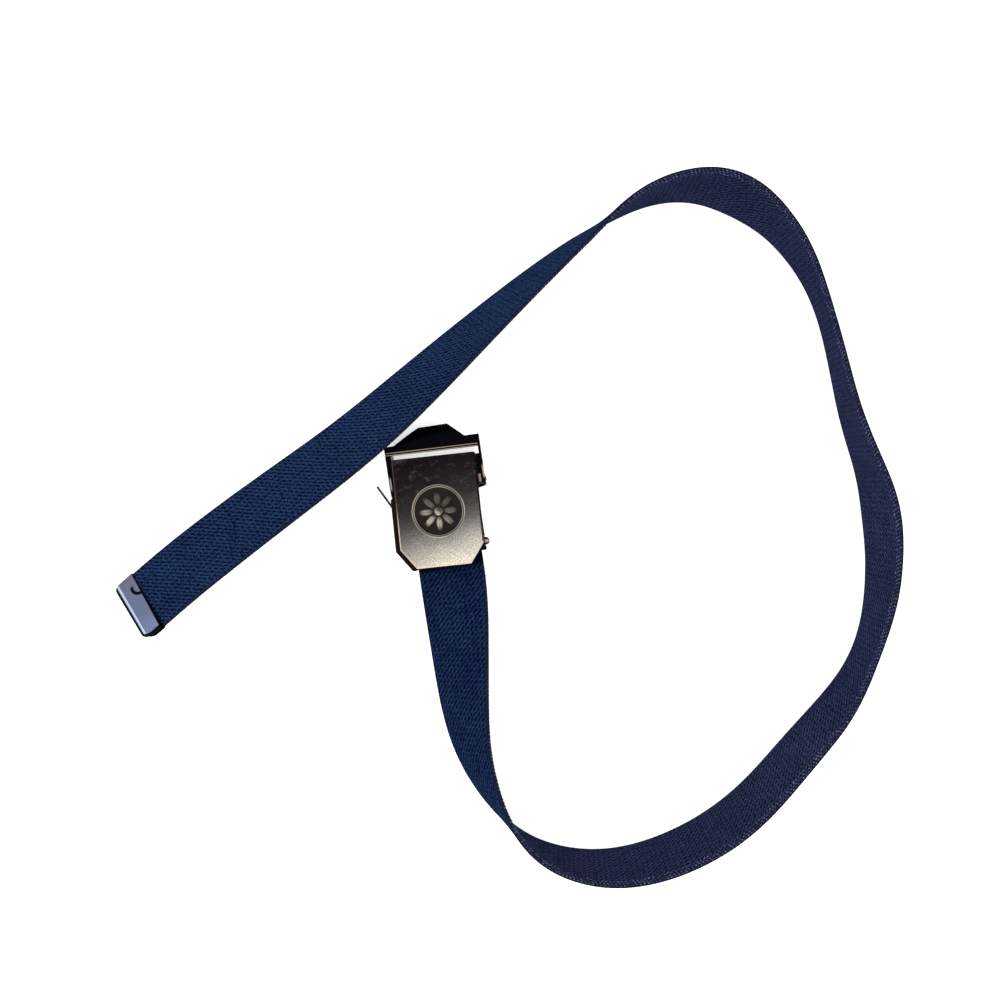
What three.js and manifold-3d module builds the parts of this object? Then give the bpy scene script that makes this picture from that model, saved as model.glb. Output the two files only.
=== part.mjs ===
// A canvas web belt that lies on a surface: one woven strip with a folded metal clip on its tip and a
// flip-cover buckle on its other end. Millimetres, +Z up, +X to the right and +Y away from the viewer.
// The strip lies flat at both ends and stands on its lower edge round the loop between them.
import * as THREE from "three";
import { mergeVertices } from "three/addons/utils/BufferGeometryUtils.js";
import Module from "manifold-3d";

const wasm = await Module();
wasm.setup();

// Webbing
const WEB_WIDTH = 32;
const WEB_THICKNESS = 2.2;
const WEB_LAID = 936; // from the tip to where the strip runs in under the buckle's cover
const WEB_GRIPPED = 26; // the straight end inside the buckle
const WEB_STEP = 4;
const WEB_LANES = 4;
const TIP_EASE = 0.1; // share of the laid length over which the strip comes down from the clip
const BUCKLE_EASE = 0.05; // and over which it rises to the buckle's base

// How the strip lies, from the tip to the buckle. along is a share of the laid length, heading is the
// direction of travel over the surface, and roll lifts the right-hand edge; both are in degrees.
const LAY = [
  { along: 0.0, heading: 41, roll: 14 },
  { along: 0.015, heading: 41, roll: 14 },
  { along: 0.06, heading: 37.5, roll: 16 },
  { along: 0.12, heading: 36, roll: 24 },
  { along: 0.18, heading: 41, roll: 33 },
  { along: 0.24, heading: 41.5, roll: 49 },
  { along: 0.3, heading: 38, roll: 67 },
  { along: 0.33, heading: 32, roll: 82 },
  { along: 0.36, heading: 7.5, roll: 91 },
  { along: 0.39, heading: -26, roll: 98 },
  { along: 0.42, heading: -50.5, roll: 89 },
  { along: 0.46, heading: -71.5, roll: 79 },
  { along: 0.5, heading: -77.5, roll: 81 },
  { along: 0.54, heading: -70.5, roll: 87 },
  { along: 0.57, heading: -82.5, roll: 94 },
  { along: 0.6, heading: -94, roll: 91 },
  { along: 0.64, heading: -111.5, roll: 85 },
  { along: 0.68, heading: -129, roll: 95 },
  { along: 0.72, heading: -131.5, roll: 98 },
  { along: 0.76, heading: -148, roll: 99 },
  { along: 0.8, heading: -168, roll: 96 },
  { along: 0.84, heading: -199.5, roll: 87 },
  { along: 0.87, heading: -230, roll: 74 },
  { along: 0.9, heading: -248, roll: 58 },
  { along: 0.93, heading: -262, roll: 43 },
  { along: 0.965, heading: -265, roll: 25 },
  { along: 1.0, heading: -261.5, roll: 0 },
];

// Clearances
const SEAT_GAP = 0.3; // between pieces that rest on each other
const PIN_GAP = 0.2; // round a pin in its hole

// Tip clip
const CLIP_WALL = 0.8;
const CLIP_DEPTH = 11;
const CLIP_OVERHANG = 0.6; // how far the clip stands past each edge of the strip
const CLIP_CORNER = 3;

// Buckle base, which lies on the surface under the strip's end
const BASE_WALL = 1.2;
const BASE_START = 9.5; // from the strip's laid end
const BASE_LENGTH = 36.5;
const WEB_SIDE_GAP = 1.3; // beside the strip, inside the clamp cheeks
const FOOT_LENGTH = 5; // the wide part of the base that carries the ears
const FOOT_FLARE = 3;

// Ears and crossbar, bent up from the same sheet as the base
const EAR_WALL = 1.2;
const EAR_SIDE_GAP = 0.9; // between the cover's side and the nearer ear
const EAR_DROP = 1.6; // how far the ears stay below the cover's face
const EAR_ARM = 5.2; // height of the arm that carries the crossbar
const BAR_GAP = 3.1; // between the cover's end and the crossbar
const BAR_DEPTH = 4.4;
const BAR_WALL = 1.4;
const LIP_REACH = 7; // how far the crossbar's lip stands past its shoulders
const LIP_WIDTH = 14.2;
const LIP_ROOT_WIDTH = 34.6;
const LIP_SHIFT = 1.4; // the lip's end sits a little right of the middle
const LIP_ROOT_SHIFT = 1; // and its root a little left
const LIP_DROP = 3.2; // how far the lip curves down at its end

// Hinge pin and clamp bar
const HINGE_INSET = 1; // from the base's upper end
const HINGE_HEIGHT = 5.6;
const PIN_DIAMETER = 2.4;
const PIN_PROUD = 0.5;
const CLAMP_INSET = 4.5; // from the base's start
const CLAMP_DIAMETER = 3.8;
const CLAMP_PROUD = 2.3; // past the base at each side
const CLAMP_CHEEK_WALL = 1.2;
const CLAMP_CHEEK_ROOF = 0.9; // metal over the bar's hole
const CLAMP_CHEEK_LENGTH = 6.6;

// Flip cover
const COVER_LENGTH = 53.6;
const COVER_WIDTH = 40.8;
const COVER_TAIL = 40.2; // from the hinge to the cover's lower end
const COVER_WALL = 1.2;
const COVER_RIM = 2; // depth of its edge
const COVER_RIM_WALL = 1.3;
const COVER_SHIFT = 0.7; // the cover sits a little left of the frame's middle
const COVER_SKEW = 2.5; // degrees, from play at the hinge
const COVER_BEVEL = 0.4;
const CHAMFER_ACROSS = 7.2;
const CHAMFER_ALONG = 9.9;
const FLANGE_REACH = 2.2; // the dark flange along the cover's left side and its left chamfer
const FLANGE_WALL = 1.2;
const FLANGE_PAST_EAR = 0.6; // between the flange's end and the left ear
const LUG_WALL = 1.5;
const LUG_RADIUS = 2.6;
const LUG_INSET = 3; // from the cover's side edge

// Medallion on the cover: a sunken disc in a raised rim, with a rosette of petals
const MEDALLION_DIAMETER = 26;
const MEDALLION_ALONG = 13.4; // from the hinge towards the cover's lower end
const MEDALLION_SINK = 0.5;
const MEDALLION_RIM_WIDTH = 1.6;
const MEDALLION_RIM_RISE = 0.35;
const PETALS = 8;
const PETAL_RISE = 0.5;
const PETAL_SLIMNESS = 0.46; // its width as a share of its length
const ROSETTE_DIAMETER = 19;
const ROSETTE_BOSS = 4.6;
const BOSS_RISE = 0.6;

// Wire prong that stands out at the buckle's left side
const PRONG_DIAMETER = 1.1;
const PRONG_LENGTH = 28;
const PRONG_ANGLE = 27.5; // degrees, from the buckle's length
const PRONG_CLEAR = 7; // between the ears' foot and where it passes the frame's side
const PRONG_INSET = 0.9; // from the base's edge

// Worked out from the sizes above; lengths along the buckle count from the strip's laid end
const BASE_WIDTH = WEB_WIDTH + 2 * (WEB_SIDE_GAP + CLAMP_CHEEK_WALL);
const BASE_END = BASE_START + BASE_LENGTH;
const FOOT_START = BASE_END - FOOT_LENGTH;
const FRAME_WIDTH = COVER_WIDTH + 2 * (COVER_SHIFT + EAR_SIDE_GAP + EAR_WALL);
const HINGE_ALONG = BASE_END - HINGE_INSET;
const CLAMP_ALONG = BASE_START + CLAMP_INSET;
const CLAMP_HEIGHT = BASE_WALL + 2 * SEAT_GAP + WEB_THICKNESS + CLAMP_DIAMETER / 2;
const CHEEK_TOP = CLAMP_HEIGHT + CLAMP_DIAMETER / 2 + PIN_GAP + CLAMP_CHEEK_ROOF;
const COVER_TOP = CHEEK_TOP + SEAT_GAP + COVER_RIM;
const EAR_HEIGHT = COVER_TOP - EAR_DROP;

const ROUND_SIDES = 24;
const CUT_PAST = 1; // how far a cutter runs past what it cuts

const rad = THREE.MathUtils.degToRad;

const FINISHES = {
  canvas: new THREE.MeshStandardMaterial({ color: 0x1c2a56, roughness: 0.9, metalness: 0 }),
  clip: new THREE.MeshStandardMaterial({ color: 0x8d94a6, roughness: 0.35, metalness: 1 }),
  gunmetal: new THREE.MeshStandardMaterial({ color: 0x5d5450, roughness: 0.4, metalness: 1 }),
};

function mesh(name, geometry, finish) {
  const made = new THREE.Mesh(geometry, FINISHES[finish].clone());
  made.name = name;
  return made;
}

// A geometry as a solid that can be cut and joined
function solidOf(geometry) {
  const bare = geometry.index ? geometry.toNonIndexed() : geometry.clone();
  for (const name of Object.keys(bare.attributes)) {
    if (name !== "position") bare.deleteAttribute(name);
  }
  const merged = mergeVertices(bare, 1e-4);
  return new wasm.Manifold(
    new wasm.Mesh({
      numProp: 3,
      vertProperties: merged.attributes.position.array,
      triVerts: new Uint32Array(merged.index.array),
    }),
  );
}

function geometryOf(solid) {
  const { vertProperties, triVerts } = solid.getMesh();
  const geometry = new THREE.BufferGeometry();
  geometry.setAttribute("position", new THREE.BufferAttribute(new Float32Array(vertProperties), 3));
  geometry.setIndex(new THREE.BufferAttribute(new Uint32Array(triVerts), 1));
  return geometry;
}

// A smooth curve through one column of the lay table
function laid(column, share) {
  const slope = (a, b) => (LAY[b][column] - LAY[a][column]) / (LAY[b].along - LAY[a].along);
  const last = LAY.length - 1;
  let i = 0;
  while (i < last - 1 && LAY[i + 1].along <= share) i += 1;
  const gap = LAY[i + 1].along - LAY[i].along;
  const u = (share - LAY[i].along) / gap;
  const startSlope = slope(Math.max(i - 1, 0), i + 1) * gap;
  const endSlope = slope(i, Math.min(i + 2, last)) * gap;
  return (
    (2 * u ** 3 - 3 * u ** 2 + 1) * LAY[i][column] +
    (u ** 3 - 2 * u ** 2 + u) * startSlope +
    (3 * u ** 2 - 2 * u ** 3) * LAY[i + 1][column] +
    (u ** 3 - u ** 2) * endSlope
  );
}

// How far the strip is held off the surface by the clip at its tip and by the buckle's base
function liftAt(share) {
  const roll = rad(LAY[0].roll);
  const tip = CLIP_OVERHANG * Math.sin(roll) + (SEAT_GAP + CLIP_WALL) * Math.cos(roll);
  const nearTip = 1 - THREE.MathUtils.smoothstep(share, LAY[1].along, TIP_EASE);
  const nearBuckle = THREE.MathUtils.smoothstep(share, 1 - BUCKLE_EASE, 1);
  return tip * nearTip + (BASE_WALL + SEAT_GAP) * nearBuckle;
}

// The strip's middle, as stations with a place, a heading and a roll; the last ones run straight on
function layStations() {
  const steps = Math.round(WEB_LAID / WEB_STEP);
  const stride = WEB_LAID / steps;
  const stations = [];
  const place = new THREE.Vector2(0, 0);
  const grippedSteps = Math.max(1, Math.round(WEB_GRIPPED / WEB_STEP));
  for (let i = 0; i <= steps + grippedSteps; i += 1) {
    const share = Math.min(i / steps, 1);
    const roll = rad(laid("roll", share));
    const edge = (WEB_WIDTH / 2) * Math.abs(Math.sin(roll)) + (WEB_THICKNESS / 2) * Math.abs(Math.cos(roll));
    stations.push({
      centre: new THREE.Vector3(place.x, place.y, edge + liftAt(share)),
      heading: rad(laid("heading", share)),
      roll,
    });
    const ahead = rad(laid("heading", Math.min((i + 0.5) / steps, 1)));
    const step = i < steps ? stride : WEB_GRIPPED / grippedSteps;
    place.x += Math.cos(ahead) * step;
    place.y += Math.sin(ahead) * step;
  }
  return { stations, laidSteps: steps };
}

// Axes at a station: x along the strip, y towards its left edge, z out of its upper face
function stationFrame({ centre, heading, roll }) {
  const along = new THREE.Vector3(Math.cos(heading), Math.sin(heading), 0);
  const left = new THREE.Vector3(0, 0, 1).cross(along).applyAxisAngle(along, -roll);
  const face = new THREE.Vector3().crossVectors(along, left);
  return new THREE.Matrix4().makeBasis(along, left, face).setPosition(centre);
}

function webGeometry(stations) {
  const count = stations.length - 1;
  const geometry = new THREE.BoxGeometry(count, WEB_WIDTH, WEB_THICKNESS, count, WEB_LANES, 1);
  const frames = stations.map(stationFrame);
  const position = geometry.attributes.position;
  const point = new THREE.Vector3();
  for (let i = 0; i < position.count; i += 1) {
    const station = Math.round(position.getX(i) + count / 2);
    point.set(0, position.getY(i), position.getZ(i)).applyMatrix4(frames[station]);
    position.setXYZ(i, point.x, point.y, point.z);
  }
  geometry.computeVertexNormals();
  return geometry;
}

// A flat outline, drawn in two axes and given a depth along the third
function slab(points, depth, axes = "xy") {
  const shape = new THREE.Shape(points.map(([a, b]) => new THREE.Vector2(a, b)));
  const geometry = new THREE.ExtrudeGeometry(shape, { depth, bevelEnabled: false });
  if (axes === "xz") geometry.rotateX(Math.PI / 2).translate(0, depth / 2, 0);
  return geometry;
}

function rodAcross(diameter, length, x, z) {
  return new THREE.CylinderGeometry(diameter / 2, diameter / 2, length, ROUND_SIDES).translate(x, 0, z);
}

// The clip is one strip of sheet metal folded round the strip's end, in the axes of its first station
function clipGeometry() {
  const width = WEB_WIDTH + 2 * CLIP_OVERHANG;
  const half = WEB_THICKNESS / 2 + SEAT_GAP + CLIP_WALL;
  const back = -(SEAT_GAP + CLIP_WALL);
  const front = back + CLIP_DEPTH;
  const fold = new THREE.Shape();
  fold.moveTo(front, half).lineTo(back + half, half);
  fold.absarc(back + half, 0, half, Math.PI / 2, (3 * Math.PI) / 2, false);
  fold.lineTo(front, -half).lineTo(front, half);
  const outer = new THREE.ExtrudeGeometry(fold, { depth: width, bevelEnabled: false, curveSegments: 6 });
  outer.rotateX(Math.PI / 2).translate(0, width / 2, 0);
  const slotLength = front + SEAT_GAP + CUT_PAST;
  const slot = new THREE.BoxGeometry(slotLength, width + 2 * CUT_PAST, 2 * (half - CLIP_WALL));
  slot.translate((front + CUT_PAST - SEAT_GAP) / 2, 0, 0);
  const plan = new THREE.Shape();
  plan.moveTo(front, -width / 2).lineTo(front, width / 2).lineTo(back + CLIP_CORNER, width / 2);
  plan.absarc(back + CLIP_CORNER, width / 2 - CLIP_CORNER, CLIP_CORNER, Math.PI / 2, Math.PI, false);
  plan.lineTo(back, CLIP_CORNER - width / 2);
  plan.absarc(back + CLIP_CORNER, CLIP_CORNER - width / 2, CLIP_CORNER, Math.PI, (3 * Math.PI) / 2, false);
  const rounded = new THREE.ExtrudeGeometry(plan, { depth: 4 * half, bevelEnabled: false, curveSegments: 4 });
  rounded.translate(0, 0, -2 * half);
  return geometryOf(solidOf(outer).subtract(solidOf(slot)).intersect(solidOf(rounded)));
}

// The cover's own axes: x along the buckle from the hinge, z up from the surface, a little askew
function coverMatrix() {
  const turn = new THREE.Matrix4().makeRotationZ(-rad(COVER_SKEW));
  return turn.setPosition(HINGE_ALONG, COVER_SHIFT, 0);
}

function pinGeometry(diameter, length) {
  return rodAcross(diameter, length, 0, HINGE_HEIGHT);
}

// Base, ears and crossbar are one bent sheet, in the axes of the strip's laid end
function frameGeometry() {
  const half = FRAME_WIDTH / 2;
  const base = slab(
    [
      [BASE_START, -BASE_WIDTH / 2],
      [FOOT_START - FOOT_FLARE, -BASE_WIDTH / 2],
      [FOOT_START, -half],
      [BASE_END, -half],
      [BASE_END, half],
      [FOOT_START, half],
      [FOOT_START - FOOT_FLARE, BASE_WIDTH / 2],
      [BASE_START, BASE_WIDTH / 2],
    ],
    BASE_WALL,
  );
  const barStart = HINGE_ALONG + COVER_LENGTH - COVER_TAIL + BAR_GAP;
  const shoulder = barStart + BAR_DEPTH;
  const lipEnd = shoulder + LIP_REACH;
  const armFoot = EAR_HEIGHT - EAR_ARM;
  const earSide = slab(
    [
      [FOOT_START, 0],
      [BASE_END, 0],
      [BASE_END + armFoot, armFoot],
      [shoulder, armFoot],
      [shoulder, EAR_HEIGHT - BAR_WALL / 2],
      [barStart, EAR_HEIGHT],
      [BASE_END, EAR_HEIGHT],
      [FOOT_START, EAR_HEIGHT - EAR_WALL * 2],
    ],
    EAR_WALL,
    "xz",
  );
  const ear = (side) => solidOf(earSide.clone().translate(0, side * (half - EAR_WALL / 2), 0));
  const bend = new THREE.SplineCurve([
    new THREE.Vector2(barStart, EAR_HEIGHT),
    new THREE.Vector2(shoulder, EAR_HEIGHT),
    new THREE.Vector2(shoulder + LIP_REACH / 2, EAR_HEIGHT - LIP_DROP / 3),
    new THREE.Vector2(lipEnd, EAR_HEIGHT - LIP_DROP),
  ]).getPoints(8);
  const profile = [
    ...bend.map((p) => [p.x, p.y]),
    ...bend.reverse().map((p) => [p.x, p.y - BAR_WALL]),
  ];
  const bar = solidOf(slab(profile, FRAME_WIDTH, "xz"));
  const plan = slab(
    [
      [barStart, -half],
      [shoulder, -half],
      [shoulder, LIP_ROOT_SHIFT - LIP_ROOT_WIDTH / 2],
      [lipEnd, -LIP_SHIFT - LIP_WIDTH / 2],
      [lipEnd, -LIP_SHIFT + LIP_WIDTH / 2],
      [shoulder, LIP_ROOT_SHIFT + LIP_ROOT_WIDTH / 2],
      [shoulder, half],
      [barStart, half],
    ],
    2 * EAR_HEIGHT,
  );
  const cheekBlock = new THREE.BoxGeometry(CLAMP_CHEEK_LENGTH, CLAMP_CHEEK_WALL, CHEEK_TOP);
  cheekBlock.translate(CLAMP_ALONG, 0, CHEEK_TOP / 2);
  const cheek = (side) =>
    solidOf(cheekBlock.clone().translate(0, (side * (BASE_WIDTH - CLAMP_CHEEK_WALL)) / 2, 0));
  const pinHole = pinGeometry(PIN_DIAMETER + 2 * PIN_GAP, 2 * FRAME_WIDTH).applyMatrix4(coverMatrix());
  const clampHole = rodAcross(CLAMP_DIAMETER + 2 * PIN_GAP, 2 * FRAME_WIDTH, CLAMP_ALONG, CLAMP_HEIGHT);
  return geometryOf(
    solidOf(base)
      .add(ear(1))
      .add(ear(-1))
      .add(bar.intersect(solidOf(plan)))
      .add(cheek(1))
      .add(cheek(-1))
      .subtract(solidOf(pinHole))
      .subtract(solidOf(clampHole)),
  );
}

function coverOutline(inset) {
  const head = COVER_LENGTH - COVER_TAIL - inset;
  const tail = -COVER_TAIL + inset;
  const side = COVER_WIDTH / 2 - inset;
  return [
    [head, -side],
    [head, side],
    [tail + CHAMFER_ALONG - inset / 2, side],
    [tail, side - CHAMFER_ACROSS + inset / 2],
    [tail, -side + CHAMFER_ACROSS - inset / 2],
    [tail + CHAMFER_ALONG - inset / 2, -side],
  ];
}

// The flange follows the cover's left side and left chamfer, below the cover's face
function flangeGeometry() {
  const side = COVER_WIDTH / 2;
  const tail = -COVER_TAIL;
  const end = FOOT_START - HINGE_ALONG - FLANGE_PAST_EAR;
  const slant = Math.hypot(CHAMFER_ACROSS, CHAMFER_ALONG);
  const outX = (FLANGE_REACH * CHAMFER_ACROSS) / slant;
  const outY = (FLANGE_REACH * CHAMFER_ALONG) / slant;
  const outer = (FLANGE_REACH * (slant - CHAMFER_ACROSS)) / CHAMFER_ALONG;
  return slab(
    [
      [end, side - COVER_RIM_WALL],
      [end, side + FLANGE_REACH],
      [tail + CHAMFER_ALONG - outer, side + FLANGE_REACH],
      [tail - outX, side - CHAMFER_ACROSS + outY],
      [tail + COVER_RIM_WALL / 2, side - CHAMFER_ACROSS],
      [tail + CHAMFER_ALONG, side - COVER_RIM_WALL],
    ],
    FLANGE_WALL,
  ).translate(0, 0, COVER_TOP - COVER_RIM);
}

function petalGeometry(index) {
  const length = (ROSETTE_DIAMETER - ROSETTE_BOSS) / 2;
  const petal = new THREE.SphereGeometry(0.5, 10, 8).scale(length, length * PETAL_SLIMNESS, 2 * PETAL_RISE);
  petal.translate((ROSETTE_BOSS + length) / 2, 0, 0);
  return petal.rotateZ((2 * Math.PI * index) / PETALS);
}

// The cover is a pressed plate with a turned-down edge and two lugs that ride on the hinge pin
function coverGeometry() {
  const outline = new THREE.Shape(coverOutline(COVER_BEVEL).map(([a, b]) => new THREE.Vector2(a, b)));
  const plate = new THREE.ExtrudeGeometry(outline, {
    depth: COVER_RIM - COVER_BEVEL,
    bevelThickness: COVER_BEVEL,
    bevelSize: COVER_BEVEL,
    bevelSegments: 2,
  });
  plate.translate(0, 0, COVER_TOP - COVER_RIM);
  const level = new THREE.BoxGeometry(4 * COVER_LENGTH, 4 * COVER_WIDTH, COVER_RIM);
  level.translate(0, 0, COVER_TOP - COVER_RIM / 2);
  const pocket = slab(coverOutline(COVER_RIM_WALL), COVER_TOP - COVER_WALL);
  let solid = solidOf(plate).intersect(solidOf(level)).subtract(solidOf(pocket));
  solid = solid.add(solidOf(flangeGeometry()));
  const lugRise = COVER_TOP - COVER_WALL / 2 - HINGE_HEIGHT;
  for (const side of [-1, 1]) {
    const y = side * (COVER_WIDTH / 2 - LUG_INSET);
    const eye = rodAcross(2 * LUG_RADIUS, LUG_WALL, 0, HINGE_HEIGHT).translate(0, y, 0);
    const stem = new THREE.BoxGeometry(2 * LUG_RADIUS, LUG_WALL, lugRise);
    stem.translate(0, y, HINGE_HEIGHT + lugRise / 2);
    solid = solid.add(solidOf(eye)).add(solidOf(stem));
  }
  const hole = pinGeometry(PIN_DIAMETER + 2 * PIN_GAP, 2 * COVER_WIDTH);
  solid = solid.subtract(solidOf(hole));
  return geometryOf(medallionOn(solid));
}

function medallionOn(cover) {
  const radius = MEDALLION_DIAMETER / 2;
  const inner = radius - MEDALLION_RIM_WIDTH;
  const flat = (geometry) => geometry.rotateX(Math.PI / 2).translate(-MEDALLION_ALONG, 0, COVER_TOP);
  const dish = flat(new THREE.CylinderGeometry(inner, inner, 2 * MEDALLION_SINK, 2 * ROUND_SIDES));
  const rimProfile = [
    new THREE.Vector2(inner, -COVER_WALL / 2),
    new THREE.Vector2(radius, -COVER_WALL / 2),
    new THREE.Vector2(radius - MEDALLION_RIM_WIDTH / 5, MEDALLION_RIM_RISE),
    new THREE.Vector2(inner + MEDALLION_RIM_WIDTH / 5, MEDALLION_RIM_RISE),
    new THREE.Vector2(inner, -COVER_WALL / 2),
  ];
  const rim = flat(new THREE.LatheGeometry(rimProfile, 2 * ROUND_SIDES));
  const boss = new THREE.SphereGeometry(0.5, 12, 8).scale(ROSETTE_BOSS, ROSETTE_BOSS, 2 * BOSS_RISE);
  const floor = COVER_TOP - MEDALLION_SINK;
  let solid = cover.subtract(solidOf(dish)).add(solidOf(rim));
  solid = solid.add(solidOf(boss.translate(-MEDALLION_ALONG, 0, floor)));
  for (let i = 0; i < PETALS; i += 1) {
    solid = solid.add(solidOf(petalGeometry(i).translate(-MEDALLION_ALONG, 0, floor)));
  }
  return solid;
}

// The prong's root lies on the base beside the strip, and its point stands out past the frame
function prongGeometry() {
  const rod = new THREE.CylinderGeometry(PRONG_DIAMETER / 2, PRONG_DIAMETER / 2, PRONG_LENGTH, 10);
  rod.rotateZ(-Math.PI / 2).translate(PRONG_LENGTH / 2, 0, 0).rotateZ(rad(PRONG_ANGLE));
  const root = BASE_WIDTH / 2 - PRONG_INSET;
  const run = (FRAME_WIDTH / 2 - root) / Math.tan(rad(PRONG_ANGLE));
  return rod.translate(FOOT_START - PRONG_CLEAR - run, root, BASE_WALL + SEAT_GAP + PRONG_DIAMETER / 2);
}

function tipClip(station) {
  const clip = mesh("tip_clip", clipGeometry(), "clip");
  clip.applyMatrix4(stationFrame(station));
  return clip;
}

function buckle(station) {
  const group = new THREE.Group();
  group.position.set(station.centre.x, station.centre.y, 0);
  group.rotation.z = station.heading;
  const clampLength = BASE_WIDTH + 2 * CLAMP_PROUD;
  const clampBar = rodAcross(CLAMP_DIAMETER, clampLength, CLAMP_ALONG, CLAMP_HEIGHT);
  group.add(mesh("buckle_frame", frameGeometry(), "gunmetal"));
  group.add(mesh("clamp_bar", clampBar, "gunmetal"));
  group.add(mesh("side_prong", prongGeometry(), "gunmetal"));
  const hinged = new THREE.Group();
  hinged.applyMatrix4(coverMatrix());
  const pin = pinGeometry(PIN_DIAMETER, FRAME_WIDTH + 2 * PIN_PROUD);
  pin.translate(0, -COVER_SHIFT, 0);
  hinged.add(mesh("hinge_pin", pin, "gunmetal"));
  hinged.add(mesh("cover_plate", coverGeometry(), "gunmetal"));
  group.add(hinged);
  return group;
}

function belt() {
  const { stations, laidSteps } = layStations();
  const group = new THREE.Group();
  group.add(mesh("web_strip", webGeometry(stations), "canvas"));
  group.add(tipClip(stations[0]));
  group.add(buckle(stations[laidSteps]));
  group.updateMatrixWorld(true);
  const box = new THREE.Box3().setFromObject(group, true);
  const middle = box.getCenter(new THREE.Vector3());
  group.position.set(-middle.x, -middle.y, -box.min.z);
  return group;
}

export default belt();
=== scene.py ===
"""Looks of a navy canvas web belt with a flip-cover buckle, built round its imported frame.

Everything is in metres in the frame's own axes: +X to the right, +Y away from the viewer, +Z up.
"""

import logging
import math
from dataclasses import dataclass, field
from enum import Enum
from typing import Callable, Sequence, Union

import bmesh
import bpy
from mathutils import Matrix, Vector


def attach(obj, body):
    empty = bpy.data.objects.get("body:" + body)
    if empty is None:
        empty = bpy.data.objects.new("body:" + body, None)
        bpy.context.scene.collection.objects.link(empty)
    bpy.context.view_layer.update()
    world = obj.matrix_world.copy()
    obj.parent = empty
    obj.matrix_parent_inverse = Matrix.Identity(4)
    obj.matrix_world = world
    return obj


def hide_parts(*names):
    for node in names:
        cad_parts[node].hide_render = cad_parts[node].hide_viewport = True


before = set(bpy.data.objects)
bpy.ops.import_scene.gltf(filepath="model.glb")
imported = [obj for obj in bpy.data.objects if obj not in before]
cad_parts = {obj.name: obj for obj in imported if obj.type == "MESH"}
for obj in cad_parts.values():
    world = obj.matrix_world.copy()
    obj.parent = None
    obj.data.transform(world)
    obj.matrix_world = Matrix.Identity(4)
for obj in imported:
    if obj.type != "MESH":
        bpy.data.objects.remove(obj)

Colour = tuple[float, float, float]
Point = tuple[float, float, float]
Corner = tuple[float, float, float, float]
Range = tuple[float, float, float, float]
Socket = bpy.types.NodeSocket
Value = Union[bpy.types.NodeSocket, float, Colour]

LOG = logging.getLogger("belt")
MM = 0.001
UPRIGHT = Matrix.Rotation(math.pi / 2, 4, "X")


class Body(Enum):
    """Bodies of the frame that pieces ride on."""

    BELT = "belt"
    COVER = "cover"


class Slot(Enum):
    """Material slots of the record."""

    CANVAS = "canvas"
    GUNMETAL = "gunmetal"
    CLIP = "clip_metal"


class Face(Enum):
    """Which part of the strip's section a vertex belongs to."""

    OUTER = 0.0
    INNER = 1.0


# Shader graphs


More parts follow.
